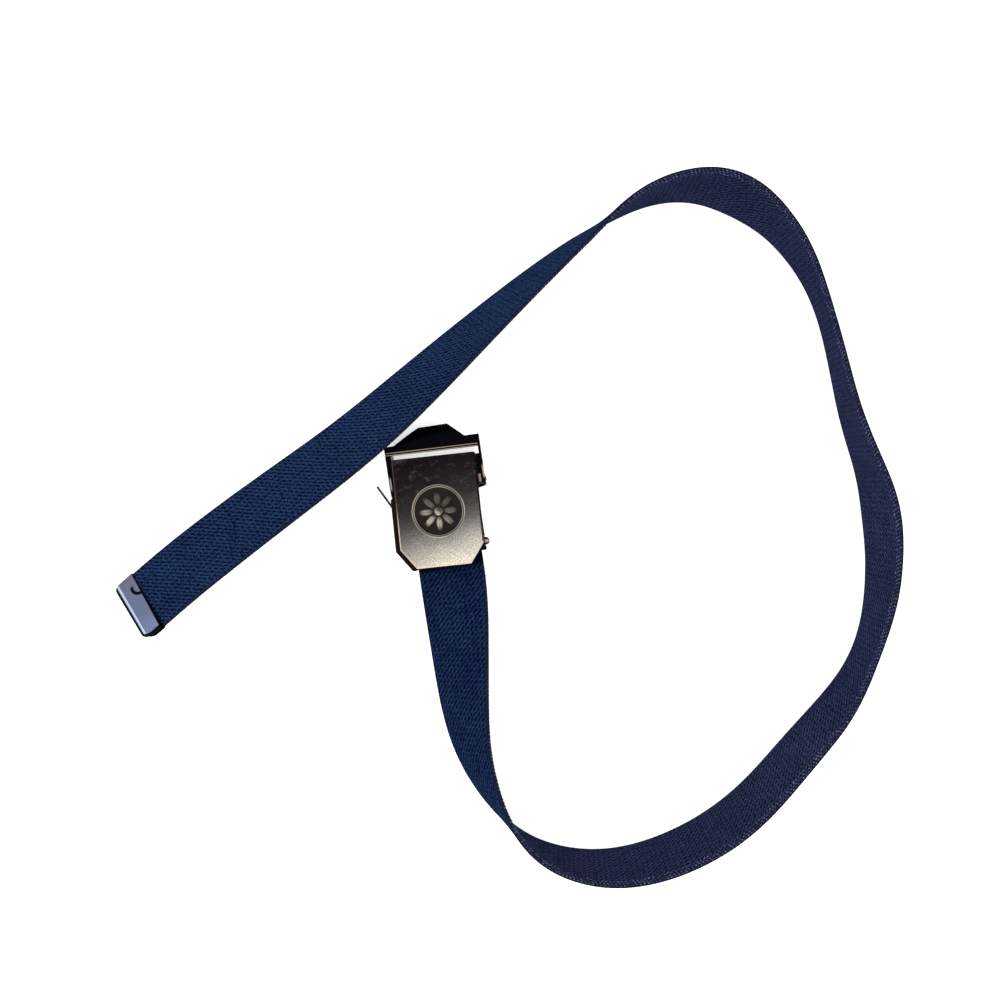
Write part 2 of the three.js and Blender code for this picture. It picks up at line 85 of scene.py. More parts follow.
class Graph:
    """A small helper that writes shader nodes as expressions.

    Args:
        name: The material's name.
    """

    def __init__(self, name: str) -> None:
        """Starts a material with its main shader."""
        self.material = bpy.data.materials.new(name)
        self.material.use_nodes = True
        self.tree = self.material.node_tree
        self.shader = self.tree.nodes["Principled BSDF"]

    def node(self, kind: str, inputs: dict | None = None, **settings: object) -> bpy.types.Node:
        """Adds one node.

        Args:
            kind: The node's type name.
            inputs: Values or sockets by input name or index.
            settings: Properties of the node.

        Returns:
            The new node.
        """
        made = self.tree.nodes.new(kind)
        for key, value in settings.items():
            setattr(made, key, value)
        for key, value in (inputs or {}).items():
            self.plug(made.inputs[key], value)
        return made

    def plug(self, socket: Socket, value: Value) -> None:
        """Links a socket or sets a plain value.

        Args:
            socket: The input socket.
            value: Another node's output, or a number or colour.
        """
        if isinstance(value, bpy.types.NodeSocket):
            self.tree.links.new(value, socket)
        elif isinstance(value, (tuple, list)) and len(value) == 3 and socket.type == "RGBA":
            socket.default_value = (*value, 1.0)
        else:
            socket.default_value = value

    def math(self, operation: str, a: Value, b: Value = 0.0, c: Value = 0.0) -> Socket:
        """One step of arithmetic.

        Args:
            operation: The math node's operation.
            a: First value or socket.
            b: Second value or socket.
            c: Third value or socket.

        Returns:
            The result's socket.
        """
        return self.node("ShaderNodeMath", {0: a, 1: b, 2: c}, operation=operation).outputs[0]

    def add(self, a: Value, b: Value) -> Socket:
        """The sum of two values."""
        return self.math("ADD", a, b)

    def sub(self, a: Value, b: Value) -> Socket:
        """The first value less the second."""
        return self.math("SUBTRACT", a, b)

    def mul(self, a: Value, b: Value) -> Socket:
        """The product of two values."""
        return self.math("MULTIPLY", a, b)

    def apart(self, a: Value, b: Value) -> Socket:
        """The distance between two values."""
        return self.math("ABSOLUTE", self.sub(a, b))

    def attribute(self, name: str) -> Socket:
        """The piece's own number at each place."""
        return self.node("ShaderNodeAttribute", attribute_name=name).outputs["Fac"]

    def ease(
        self, value: Value, low: float, high: float, to_low: float = 0.0, to_high: float = 1.0
    ) -> Socket:
        """A smooth step between two values.

        Args:
            value: The socket to map.
            low: Where the step starts.
            high: Where the step ends.
            to_low: The result before the step.
            to_high: The result after the step.

        Returns:
            The result's socket.
        """
        mapped = self.node(
            "ShaderNodeMapRange",
            {"Value": value, "From Min": low, "From Max": high, "To Min": to_low, "To Max": to_high},
            interpolation_type="SMOOTHSTEP",
        )
        return mapped.outputs["Result"]

    def band(self, value: Value, start: float, full: float, still: float, end: float) -> Socket:
        """A smooth rise from 0 to 1 and fall back to 0.

        Args:
            value: The socket to map.
            start: Where the rise starts.
            full: Where it ends.
            still: Where the fall starts.
            end: Where it ends.

        Returns:
            The result's socket.
        """
        return self.mul(self.ease(value, start, full), self.ease(value, still, end, 1.0, 0.0))

    def noise(self, vector: Socket, scale: float, detail: float = 2.0, roughness: float = 0.5) -> Socket:
        """Fractal noise from 0 to 1.

        Args:
            vector: The coordinates' socket.
            scale: Cells per unit.
            detail: Number of octaves.
            roughness: Share of each finer octave.

        Returns:
            The value's socket.
        """
        made = self.node(
            "ShaderNodeTexNoise",
            {"Vector": vector, "Scale": scale, "Detail": detail, "Roughness": roughness},
        )
        return made.outputs[0]

    def mix(self, factor: Value, a: Value, b: Value, blend: str = "MIX") -> Socket:
        """Mixes two colours.

        Args:
            factor: Share of the second colour.
            a: First colour.
            b: Second colour.
            blend: Blend mode.

        Returns:
            The colour's socket.
        """
        made = self.node("ShaderNodeMix", data_type="RGBA", blend_type=blend)
        self.plug(made.inputs[0], factor)
        self.plug(made.inputs[6], a)
        self.plug(made.inputs[7], b)
        return made.outputs[2]

    def combine(self, x: Value, y: Value = 0.0, z: Value = 0.0) -> Socket:
        """A vector from three numbers.

        Args:
            x: First number or socket.
            y: Second number or socket.
            z: Third number or socket.

        Returns:
            The vector's socket.
        """
        return self.node("ShaderNodeCombineXYZ", {0: x, 1: y, 2: z}).outputs[0]

    def uv_mm(self, name: str) -> tuple[Socket, Socket]:
        """The piece's own UV map in millimetres.

        Args:
            name: The UV map's name.

        Returns:
            Sockets of the two coordinates.
        """
        uv = self.node("ShaderNodeUVMap", uv_map=name).outputs[0]
        parts = self.node("ShaderNodeSeparateXYZ", {0: uv}).outputs
        return self.mul(parts[0], 1000.0), self.mul(parts[1], 1000.0)

    def bump(self, height: Value, distance: float, strength: float = 1.0) -> None:
        """Gives the shader a bumped normal.

        Args:
            height: The height's socket.
            distance: Depth of the bump in metres.
            strength: Share of the bump that shows.
        """
        made = self.node("ShaderNodeBump", {"Height": height, "Distance": distance, "Strength": strength})
        self.plug(self.shader.inputs["Normal"], made.outputs[0])

    def set(self, **inputs: Value) -> None:
        """Sets the main shader's inputs.

        Args:
            inputs: Values or sockets, with underscores for spaces.
        """
        for key, value in inputs.items():
            self.plug(self.shader.inputs[key.replace("_", " ")], value)


@dataclass(frozen=True)
class WovenFinish:
    """Woven cotton webbing: rows of pale floats aslant to the strip, with dark gaps between them that carry
    painted shade.

    Args:
        light: Colour of the floats.
        dark: Colour of the gaps, partly the weave's own pattern and partly painted shade in its hollows.
        inner_light: Colour of the floats on the inner face.
        inner_dark: Colour of the gaps there.
        warm_patch: Colour of the faint warm patches on the inner face.
        edge_tint: Colour of the borders.
        painted_shade: Colour of the painted shade on the cloth inside and just past the tip's clip, and under
            the buckle's cover.
        row: Distance between rows in millimetres.
        pitch: Distance between gaps along a row in millimetres.
        gap_reach: Half the length of a gap in millimetres.
        gap_half: Half its width in millimetres.
        half: Half the strip's width in millimetres.
        rim: Width of its borders in millimetres.
        slant: Angle of the rows to the strip in degrees.
        gap_fade: What is left of a gap's darkness along the row.
        spark: Brightness of the yarn: from and to which noise it rises, and its least and most.
        patches: Brightness of the large patches, in the same way.
        dusk: Darkening towards the buckle, in the same way, by millimetres from the tip.
        warmth: Strength of the warm patches, in the same way.
        clip_end: Where the cloth leaves the clip in millimetres.
        buckle_start: Where it runs into the cover's shade in millimetres.
        relief: Depth of the weave in metres.
    """

    light: Colour = (0.0170, 0.0375, 0.0990)
    dark: Colour = (0.0000, 0.0012, 0.0120)
    inner_light: Colour = (0.0290, 0.0360, 0.0840)
    inner_dark: Colour = (0.0005, 0.0022, 0.0130)
    warm_patch: Colour = (0.0110, 0.0085, 0.0170)
    edge_tint: Colour = (0.0100, 0.0120, 0.0240)
    painted_shade: Colour = (0.0006, 0.0008, 0.0022)
    row: float = 1.78
    pitch: float = 3.46
    gap_reach: float = 1.6
    gap_half: float = 0.82
    half: float = 16.0
    rim: float = 1.3
    slant: float = 42.0
    gap_fade: float = 0.42
    spark: Range = (0.40, 0.60, 0.15, 1.95)
    patches: Range = (0.3, 0.7, 0.82, 1.14)
    dusk: Range = (700.0, 880.0, 1.0, 0.58)
    warmth: Range = (0.46, 0.62, 0.0, 0.22)
    clip_end: float = 10.4
    buckle_start: float = 937.0
    relief: float = 0.00045

    def material(self) -> bpy.types.Material:
        """Builds the node material.

        Returns:
            The material.
        """
        g = Graph("navy_webbing")
        s, t = g.uv_mm("weave")
        plane = g.combine(s, t)
        # Places along and across the slanting rows, which wander a little
        sway = g.sub(g.noise(plane, 0.2, 2.0), 0.5)
        turn = math.radians(self.slant)
        r = g.sub(g.mul(s, math.cos(turn)), g.mul(t, math.sin(turn)))
        q = g.add(g.mul(s, math.sin(turn)), g.mul(t, math.cos(turn)))
        r, q = g.add(r, sway), g.add(q, g.mul(sway, 0.6))
        # Dark gaps, set half a pitch apart from row to row: the weave's pattern with painted shade where the
        # bump is low
        rows = g.math("DIVIDE", q, self.row)
        index = g.math("FLOOR", rows)
        shift = g.mul(g.math("FLOORED_MODULO", index, 2.0), 0.5)
        columns = g.add(g.math("DIVIDE", r, self.pitch), shift)
        across = g.mul(self.from_middle(g, rows), self.row)
        along = g.mul(self.from_middle(g, columns), self.pitch)
        cell = g.node(
            "ShaderNodeTexWhiteNoise", {0: g.combine(g.math("FLOOR", columns), index)}, noise_dimensions="2D"
        ).outputs[0]
        ragged = g.mul(g.sub(g.noise(plane, 1.3, 2.0), 0.5), 0.9)
        valley = g.ease(g.add(across, g.mul(ragged, 0.5)), 0.05, self.gap_half, 1.0, 0.0)
        gap = g.ease(g.add(along, ragged), 0.35 * self.gap_reach, self.gap_reach, 1.0, self.gap_fade)
        # Yarn between them, softer on the inner face
        yarn = g.noise(g.combine(r, g.mul(q, 1.5)), 1.05, 2.0, 0.6)
        spark = g.ease(yarn, *self.spark)
        inner = g.attribute("inner")
        body = g.sub(1.0, g.mul(valley, gap))
        crest = g.mul(body, g.add(g.mul(cell, 0.5), 0.6))
        fleck = g.mul(crest, spark)
        soft = g.add(g.mul(fleck, 0.9), 0.03)
        outer_share = g.mul(fleck, g.sub(1.0, inner))
        shade = g.add(outer_share, g.mul(soft, inner))
        low = g.mix(inner, self.dark, self.inner_dark)
        high = g.mix(inner, self.light, self.inner_light)
        # Large patches, dark borders, and painted shade on the ends inside and beside the metal
        patches = g.ease(g.noise(plane, 0.035, 3.0), *self.patches)
        patches = g.mul(patches, g.ease(s, *self.dusk))
        colour = g.mix(g.mul(shade, patches), low, high)
        warm = g.ease(g.noise(g.combine(s, t, 7.0), 0.024, 2.0), *self.warmth)
        colour = g.mix(g.mul(warm, inner), colour, self.warm_patch)
        rim = g.ease(g.apart(t, self.half), self.half - self.rim, self.half - 0.3, 0.0, 0.75)
        colour = g.mix(rim, colour, self.edge_tint)
        # Painted shade inside and just past the tip's clip, and under the buckle's cover
        clip_shade = g.ease(s, self.clip_end, self.clip_end + 1.7, 1.0, 0.0)
        cover_shade = g.ease(s, self.buckle_start, self.buckle_start + 4.0, 0.0, 0.92)
        colour = g.mix(g.math("MAXIMUM", clip_shade, cover_shade), colour, self.painted_shade)
        g.set(Base_Color=colour, Roughness=0.92, Specular_IOR_Level=0.0)
        g.set(Sheen_Weight=0.008, Sheen_Roughness=0.5, Sheen_Tint=(0.45, 0.55, 1.0, 1.0))
        height = g.add(g.mul(crest, 0.8), g.mul(yarn, 0.35))
        g.bump(height, self.relief, 0.6)
        return g.material

    @staticmethod
    def from_middle(g: Graph, count: Value) -> Socket:
        """Distance from the middle of a repeat.

        Args:
            g: The material's graph.
            count: Socket that counts repeats.

        Returns:
            The distance's socket, from 0 at the middle to a half at the ends.
        """
        return g.apart(g.math("FRACT", count), 0.5)


@dataclass(frozen=True)
class ThreadFinish:
    """Pale cotton thread of the strip's knitted edge.

    Args:
        light: The thread's main colour.
        dark: Its colour as painted shade in the thread's hollows.
    """

    light: Colour = (0.150, 0.155, 0.290)
    dark: Colour = (0.012, 0.015, 0.042)

    def material(self) -> bpy.types.Material:
        """Builds the node material.

        Returns:
            The material.
        """
        g = Graph("edge_thread")
        place = g.node("ShaderNodeTexCoord").outputs["Object"]
        fibre = g.noise(place, 2600.0, 2.0)
        patch = g.noise(place, 330.0, 3.0, 0.7)
        share = g.mul(fibre, g.ease(patch, 0.38, 0.64, 0.1, 2.0))
        g.set(Base_Color=g.mix(share, self.dark, self.light), Roughness=0.85, Sheen_Weight=0.05)
        g.set(Specular_IOR_Level=0.1)
        g.bump(fibre, 0.0001, 0.6)
        return g.material


@dataclass(frozen=True)
class Shade:
    """One colour of a plate's painted reflection gradient.

    Args:
        along: Its place along the buckle in millimetres.
        colour: The colour there.
    """

    along: float
    colour: Colour


# Colours of the cover's painted reflection, dark at the upper end and bright at the lower
COVER_REFLECTION_SHADES = (
    Shade(57, (0.008, 0.006, 0.007)), Shade(47, (0.014, 0.011, 0.011)), Shade(37, (0.030, 0.025, 0.025)),
    Shade(30, (0.066, 0.057, 0.053)), Shade(24, (0.138, 0.124, 0.112)), Shade(18, (0.280, 0.257, 0.232)),
    Shade(12, (0.520, 0.475, 0.410)), Shade(5, (0.800, 0.720, 0.580)),
)


@dataclass(frozen=True)
class BrushedFinish:
    """Brushed plate with a painted reflection: dark at its upper end and warm and bright at its lower one.

    Args:
        name: The material's name.
        shades: Colours of the painted reflection along the buckle, from the upper end down.
        lean: How far the painted reflection's gradient leans towards the right.
        grain: Strength of the brushing.
        rough: Base roughness.
        scuffed: Share of the marks: from and to which noise it rises.
        scuffs_from: Between which places along the buckle they begin, in millimetres.
        glow_fade: Glow of its edges: between which places it fades, and its most and least.
        glow: Colour of the edges that catch the light.
        smear: Colour of the marks near its upper end.
        line: Colour of the edges in shadow.
    """

    name: str
    shades: tuple[Shade, ...] = COVER_REFLECTION_SHADES
    lean: float = 0.2
    grain: float = 1.0
    rough: float = 0.36
    scuffed: tuple[float, float] = (0.52, 0.72)
    scuffs_from: tuple[float, float] = (26.0, 46.0)
    glow_fade: Range = (22.0, 40.0, 0.85, 0.06)
    glow: Colour = (0.68, 0.53, 0.46)
    smear: Colour = (0.085, 0.079, 0.078)
    line: Colour = (0.008, 0.006, 0.006)

    def material(self) -> bpy.types.Material:
        """Builds the node material.

        Returns:
            The material.
        """
        g = Graph(self.name)
        u, v = g.uv_mm("plan")
        # Brushing: long streaks, fine lines and specks
        streak = g.noise(g.combine(g.mul(u, 5.5), g.mul(v, 0.16)), 1.0, 4.0, 0.62)
        fine = g.noise(g.combine(g.mul(u, 13.0), g.mul(v, 1.2)), 1.0, 3.0, 0.6)
        speck = g.noise(g.combine(u, g.mul(v, 0.4)), 2.6, 2.0, 0.6)
        brush = g.add(g.mul(streak, 0.8), g.mul(fine, 0.4))
        brush = g.add(brush, g.mul(g.ease(speck, 0.3, 0.7), 0.8))
        brush = g.add(g.mul(brush, self.grain), 1.0 - self.grain)
        # Painted reflection: a gradient along the buckle, with wandering borders
        cloud = g.mul(g.sub(g.noise(g.combine(u, v), 0.08, 3.0), 0.5), 7.0)
        place = g.add(g.sub(v, g.mul(u, self.lean)), cloud)
        brushed_reflection = g.mix(1.0, self.gradient(g, place), g.combine(brush, brush, brush), "MULTIPLY")
        worn = g.ease(g.noise(g.combine(u, g.mul(v, 1.3)), 0.15, 6.0, 0.85), *self.scuffed)
        worn = g.mul(worn, g.ease(v, *self.scuffs_from))
        colour = g.mix(worn, brushed_reflection, self.smear)
        # Edges that catch the light, and those in shadow
        edge = g.attribute("tone")
        bright = g.mul(g.ease(edge, 0.15, 0.8), g.ease(v, *self.glow_fade))
        colour = g.mix(bright, colour, self.glow)
        shaded = g.ease(edge, -0.8, -0.2, 0.9, 0.0)
        colour = g.mix(shaded, colour, self.line)
        g.set(Base_Color=colour, Metallic=1.0, Anisotropic=0.5)
        spread = g.add(self.rough - 0.08, g.mul(fine, 0.2))
        spread = g.add(spread, g.mul(shaded, 0.5))
        g.set(Roughness=g.add(spread, g.mul(worn, 0.12)))
        tangent = g.node("ShaderNodeTangent", direction_type="UV_MAP", uv_map="plan")
        g.set(Tangent=tangent.outputs[0])
        g.bump(g.add(streak, fine), 0.00003, 0.5 * self.grain)
        return g.material

    def gradient(self, g: Graph, place: Value) -> Socket:
        """Colour of the painted reflection along the buckle.

        Args:
            g: The material's graph.
            place: Socket of the place along the buckle in millimetres.

        Returns:
            The colour's socket.
        """
        first, last = self.shades[0].along, self.shades[-1].along
        share = g.node(
            "ShaderNodeMapRange", {"Value": place, "From Min": first, "From Max": last}
        ).outputs["Result"]
        ramp = g.node("ShaderNodeValToRGB", {0: share})
        stops = ramp.color_ramp.elements
        stops[0].color, stops[1].color = (*self.shades[0].colour, 1.0), (*self.shades[-1].colour, 1.0)
        for shade in self.shades[1:-1]:
            stops.new((shade.along - first) / (last - first)).color = (*shade.colour, 1.0)
        return ramp.outputs[0]


@dataclass(frozen=True)
class BlackenedFinish:
    """Blackened metal of the frame and rods, with a few worn specks, painted glints on marked faces and
    bright lines across the crossbar.

    Args:
        name: The material's name.
        colour: The dark metal.
        wear_and_glint: Colour of the worn specks, the painted glints and the bright lines.
        rough: Its roughness.
        glint: Where its marked faces carry a painted glint: start, full, full and end, in millimetres along
            it.
        lines: Places of bright lines across the buckle, in millimetres along it.
        line_lean: How far these lines drop towards the right.
        line_half: Half the width of such a line in millimetres.
    """

    name: str
    colour: Colour = (0.0030, 0.0026, 0.0042)
    wear_and_glint: Colour = (0.46, 0.38, 0.31)
    rough: float = 0.30
    glint: tuple[float, float, float, float] = (-4e3, -3e3, 3e3, 4e3)
    lines: tuple[float, ...] = ()
    line_lean: float = 0.0
    line_half: float = 0.2

    def material(self) -> bpy.types.Material:
        """Builds the node material.

        Returns:
            The material.
        """
        g = Graph(self.name)
        u, v = g.uv_mm("plan")
        scuff = g.noise(g.combine(u, v), 0.5, 4.0, 0.65)
        colour = g.mix(g.ease(scuff, 0.62, 0.74, 0.0, 0.05), self.colour, self.wear_and_glint)
        # Painted glint on the faces that the tone marks
        tone = g.attribute("tone")
        wear_and_glint = g.mul(g.ease(tone, 0.1, 0.9), g.band(v, *self.glint))
        colour = g.mix(wear_and_glint, colour, self.wear_and_glint)
        for place in self.lines:
            level = g.add(v, g.mul(u, self.line_lean))
            off = g.apart(level, place)
            colour = g.mix(g.ease(off, 0.4 * self.line_half, self.line_half, 0.9, 0.0), colour, self.wear_and_glint)
        g.set(Base_Color=colour, Metallic=1.0)
        g.set(Roughness=g.add(self.rough, g.mul(scuff, 0.12)))
        g.bump(scuff, 0.00003, 0.4)
        return g.material


@dataclass(frozen=True)
class AntiqueFinish:
    """Cast medallion with patina in its hollows and bright crests, partly worn and partly painted highlight.

    Args:
        hollow: Colour of the hollows.
        middle: Colour of the slopes.
        crest: Colour of the crests.
    """

    hollow: Colour = (0.020, 0.016, 0.014)
    middle: Colour = (0.110, 0.092, 0.075)
    crest: Colour = (0.40, 0.345, 0.275)

    def material(self) -> bpy.types.Material:
        """Builds the node material.

        Returns:
            The material.
        """
        g = Graph("antique_medallion")
        u, v = g.uv_mm("plan")
        wear = g.noise(g.combine(u, v), 1.4, 4.0, 0.6)
        tone = g.attribute("tone")
        height = g.add(tone, g.mul(g.sub(wear, 0.5), 0.35))
        colour = g.mix(g.ease(height, 0.08, 0.5), self.hollow, self.middle)
        colour = g.mix(g.ease(height, 0.5, 0.95), colour, self.crest)
        g.set(Base_Color=colour, Metallic=1.0, Roughness=g.add(0.24, g.mul(wear, 0.2)))
        g.bump(wear, 0.00003, 0.4)
        return g.material


@dataclass(frozen=True)
class SatinFinish:
    """Satin plated sheet of the tip's clip, with a painted highlight along its fold, painted shade at its
    edges and on the fold, and a dark curved mark beside its open edge.

    Args:
        fold_at: Where its fold begins, in millimetres of sheet from the open edge.
        half: Half its width in millimetres.
        colour: The metal's colour.
        bluer: Its colour towards the strip's right-hand edge.
        warmer: Its colour in the other corner.
        line: Where the painted highlight along the fold starts, is full and ends, counted from the fold.
        fold: Where the painted shade beyond it starts, is full and ends, in the same way.
        shine: Colour of the painted highlight along the fold.
        shadow: Colour of the painted shade at its edges and on the fold, and of the dark mark.
        mark_at: Middle of the dark mark's arc across the clip in millimetres.
        mark_radius: Its radius in millimetres.
    """

    fold_at: float
    half: float
    colour: Colour = (0.080, 0.095, 0.150)
    bluer: Colour = (0.100, 0.128, 0.215)
    warmer: Colour = (0.100, 0.087, 0.117)
    line: Range = (-1.3, -0.8, -0.2, 0.1)
    fold: Range = (0.0, 0.3, 3.4, 4.4)
    shine: Colour = (0.36, 0.40, 0.52)
    shadow: Colour = (0.0020, 0.0024, 0.0060)
    mark_at: float = 8.6
    mark_radius: float = 3.9

    def material(self) -> bpy.types.Material:
        """Builds the node material.

        Returns:
            The material.
        """
        g = Graph("satin_clip")
        left, down = g.uv_mm("sheet")
        grain = g.noise(g.combine(left, down), 3.2, 3.0)
        cloud = g.noise(g.combine(left, down), 0.16, 3.0)
        drift = g.mul(g.sub(cloud, 0.5), 6.0)
        side = g.add(left, drift)
        colour = g.mix(g.ease(side, -self.half, -0.1 * self.half, 1.0, 0.0), self.colour, self.bluer)
        corner = g.mul(g.ease(side, 0.35 * self.half, self.half), g.ease(down, 1.0, 9.0, 1.0, 0.2))
        colour = g.mix(corner, colour, self.warmer)
        mottle = g.add(g.mul(g.noise(g.combine(left, down), 1.9, 3.0, 0.75), 1.1), 0.45)
        colour = g.mix(1.0, colour, g.combine(mottle, mottle, mottle), "MULTIPLY")
        # Painted highlight along the start of the fold
        shine = g.band(down, *(self.fold_at + step for step in self.line))
        shine = g.mul(shine, g.ease(mottle, 0.8, 1.1, 0.55, 1.0))
        colour = g.mix(shine, colour, self.shine)
        dark = self.shadows(g, left, down)
        colour = g.mix(g.mul(dark, 0.97), colour, self.shadow)
        rough = g.add(g.mul(grain, 0.2), g.mul(dark, 0.5))
        g.set(Base_Color=colour, Metallic=1.0, Roughness=g.add(0.28, rough))
        g.bump(g.add(grain, cloud), 0.00005, 0.5)
        return g.material

    def shadows(self, g: Graph, left: Value, down: Value) -> Socket:
        """Where the clip is dark: painted shade at its side edges, the fold's far side and the open edge, and
        the dark mark.

        Args:
            g: The material's graph.
            left: Socket of the place across the clip in millimetres.
            down: Socket of the place along its sheet in millimetres.

        Returns:
            The share's socket.
        """
        # Painted shade at the side edges, on the fold and at the open edge
        left_side = g.ease(left, self.half - 0.35, self.half - 0.1)
        right_side = g.ease(left, 1.3 - self.half, 1.8 - self.half, 1.0, 0.0)
        sides = g.math("MAXIMUM", left_side, right_side)
        fold = g.band(down, *(self.fold_at + step for step in self.fold))
        seam = g.ease(down, 0.05, 0.4, 1.0, 0.0)
        across = g.math("POWER", g.sub(left, self.mark_at), 2.0)
        along = g.math("POWER", g.add(down, 0.6), 2.0)
        off = g.apart(g.math("SQRT", g.add(across, along)), self.mark_radius)
        hook_mark = g.mul(g.ease(off, 0.45, 0.95, 1.0, 0.0), g.ease(left, 9.8, 10.8, 1.0, 0.0))
        dark = g.math("MAXIMUM", g.math("MAXIMUM", sides, fold), g.math("MAXIMUM", seam, hook_mark))
        return g.math("MINIMUM", dark, 1.0)


@dataclass(frozen=True)
class FloorFinish:
    """Plain pale studio floor, lit from below like a light table.

    Args:
        colour: The floor's colour.
        glow: Strength of its own light.
    """

    colour: Colour = (0.94, 0.94, 0.94)
    glow: float = 0.6

    def material(self) -> bpy.types.Material:
        """Builds the node material.

        Returns:
            The material.
        """
        g = Graph("pale_floor")
        place = g.node("ShaderNodeTexCoord").outputs["Object"]
        g.set(Base_Color=g.mix(g.noise(place, 3.0), self.colour, tuple(0.98 * c for c in self.colour)))
        g.set(Roughness=0.9, Emission_Color=(1.0, 1.0, 1.0), Emission_Strength=self.glow)
        g.set(Specular_IOR_Level=0.1)
        return g.material


# Mesh helpers


def as_object(bm: bmesh.types.BMesh, name: str, material: bpy.types.Material) -> bpy.types.Object:
    """Turns a mesh under construction into an object of the scene.

    Args:
        bm: The mesh, which is freed.
        name: The object's name.
        material: Its material.

    Returns:
        The new object.
    """
    mesh = bpy.data.meshes.new(name)
    bm.to_mesh(mesh)
    bm.free()
    made = bpy.data.objects.new(name, mesh)
    bpy.context.scene.collection.objects.link(made)
    mesh.materials.append(material)
    return made


def finish_piece(
    bm: bmesh.types.BMesh,
    name: str,
    material: bpy.types.Material,
    body: Body,
    slot: Slot,
    replaces: Sequence[str] = (),
    smooth: bool = True,
) -> bpy.types.Object:
    """Turns a mesh under construction into a piece of the belt.

    Args:
        bm: The mesh, already in the frame's axes.
        name: The piece's name.
        material: Its material.
        body: The body that it rides on.
        slot: The record's slot that its finish stands for; not used.
        replaces: Nodes of the frame that it stands for.
        smooth: Whether its faces are shaded smoothly.

    Returns:
        The new object.
    """
    bmesh.ops.remove_doubles(bm, verts=bm.verts, dist=1e-6)
    bmesh.ops.recalc_face_normals(bm, faces=bm.faces)
    for face in bm.faces:
        face.smooth = smooth
    made = as_object(bm, name, material)
    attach(made, body.value)
    if replaces:
        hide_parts(*replaces)
    LOG.info("%s: %d faces", name, len(made.data.polygons))
    return made


def bevelled(piece: bpy.types.Object, width: float, segments: int = 3, angle: float = 30.0) -> None:
    """Rounds a piece's sharp edges.

    Args:
        piece: The piece.
        width: The bevel's width in metres.
        segments: Number of steps across the bevel.
        angle: Least angle of an edge that is rounded, in degrees.
    """
    bevel = piece.modifiers.new("rounded_edges", "BEVEL")
    bevel.width, bevel.segments, bevel.profile = width, segments, 0.5
    bevel.limit_method, bevel.angle_limit = "ANGLE", math.radians(angle)
    bevel.harden_normals = True


def thickened(piece: bpy.types.Object, wall: float, offset: float = 0.0) -> None:
    """Gives a sheet its thickness.

    Args:
        piece: The piece.
        wall: Its thickness in metres.
        offset: 0 to lay it on both sides of the sheet, -1 to lay it on the inside.
    """
    solidify = piece.modifiers.new("sheet", "SOLIDIFY")
    solidify.thickness, solidify.offset = wall, offset


def plan_uv(bm: bmesh.types.BMesh) -> None:
    """Maps a piece in the buckle's axes from above: across the buckle, then along it.

    Args:
        bm: The mesh, in the buckle's axes.
    """
    layer = bm.loops.layers.uv.new("plan")
    for face in bm.faces:
        for loop in face.loops:
            loop[layer].uv = (-loop.vert.co.y, loop.vert.co.x)


def outline_solid(points: Sequence[tuple[float, float]], low: float, high: float) -> bmesh.types.BMesh:
    """A flat outline with a thickness.

    Args:
        points: The outline's corners.
        low: Height of its underside.
        high: Height of its upper side.

    Returns:
        The closed mesh.
    """
    bm = bmesh.new()
    bmesh.ops.create_circle(bm, cap_ends=True, radius=1.0, segments=len(points))
    bm.verts.ensure_lookup_table()
    for vert, (x, y) in zip(bm.verts, points):
        vert.co = (x, y, low)
    made = bmesh.ops.extrude_face_region(bm, geom=list(bm.faces))
    for item in made["geom"]:
        if isinstance(item, bmesh.types.BMVert):
            item.co.z = high
    return bm


def merge_into(target: bmesh.types.BMesh, source: bmesh.types.BMesh) -> None:
    """Adds one mesh to another.

    Args:
        target: The mesh that grows.
        source: The mesh that is added and freed.
    """
    held = bpy.data.meshes.new("held")
    source.to_mesh(held)
    source.free()
    target.from_mesh(held)
    bpy.data.meshes.remove(held)


def rounded(points: Sequence[Point], steps: int, spacing: float) -> list[Corner]:
    """A polygon with rounded corners, as points with outward normals.

    Args:
        points: Corners as x, y and corner radius, anticlockwise.
        steps: Steps round each corner.
        spacing: Longest distance between points on a side.

    Returns:
        Rows of x, y, normal x and normal y.
    """
    rows = []
    count = len(points)
    for i, (x, y, radius) in enumerate(points):
        here = Vector((x, y))
        back = (Vector(points[i - 1][:2]) - here).normalized()
        ahead = (Vector(points[(i + 1) % count][:2]) - here).normalized()
        half = back.angle(ahead) / 2
        centre = here + (back + ahead).normalized() * (radius / math.sin(half))
        first = Vector((back.y, -back.x)) * -1
        last = Vector((ahead.y, -ahead.x))
        start, sweep = math.atan2(first.y, first.x), first.angle_signed(last) * -1
        for k in range(steps + 1):
            turn = start + sweep * k / steps
            out = Vector((math.cos(turn), math.sin(turn)))
            rows.append((*(centre + out * radius), *out))
        following, side = points[(i + 1) % count], Vector(rows[-1][:2])
        reach = (Vector(following[:2]) - side).length - following[2]
        parts = max(1, int(reach / spacing))
        rows += [(*(side + ahead * (reach * k / parts)), *out) for k in range(1, parts)]
    return rows


def grid(across: int, rows: int) -> bmesh.types.BMesh:
    """A grid of cells whose corners are numbered row by row.

    Args:
        across: Cells in a row.
        rows: Rows of cells.

    Returns:
        The mesh.
    """
    bm = bmesh.new()
    bmesh.ops.create_grid(bm, x_segments=across, y_segments=rows, size=1.0)
    bm.verts.ensure_lookup_table()
    return bm


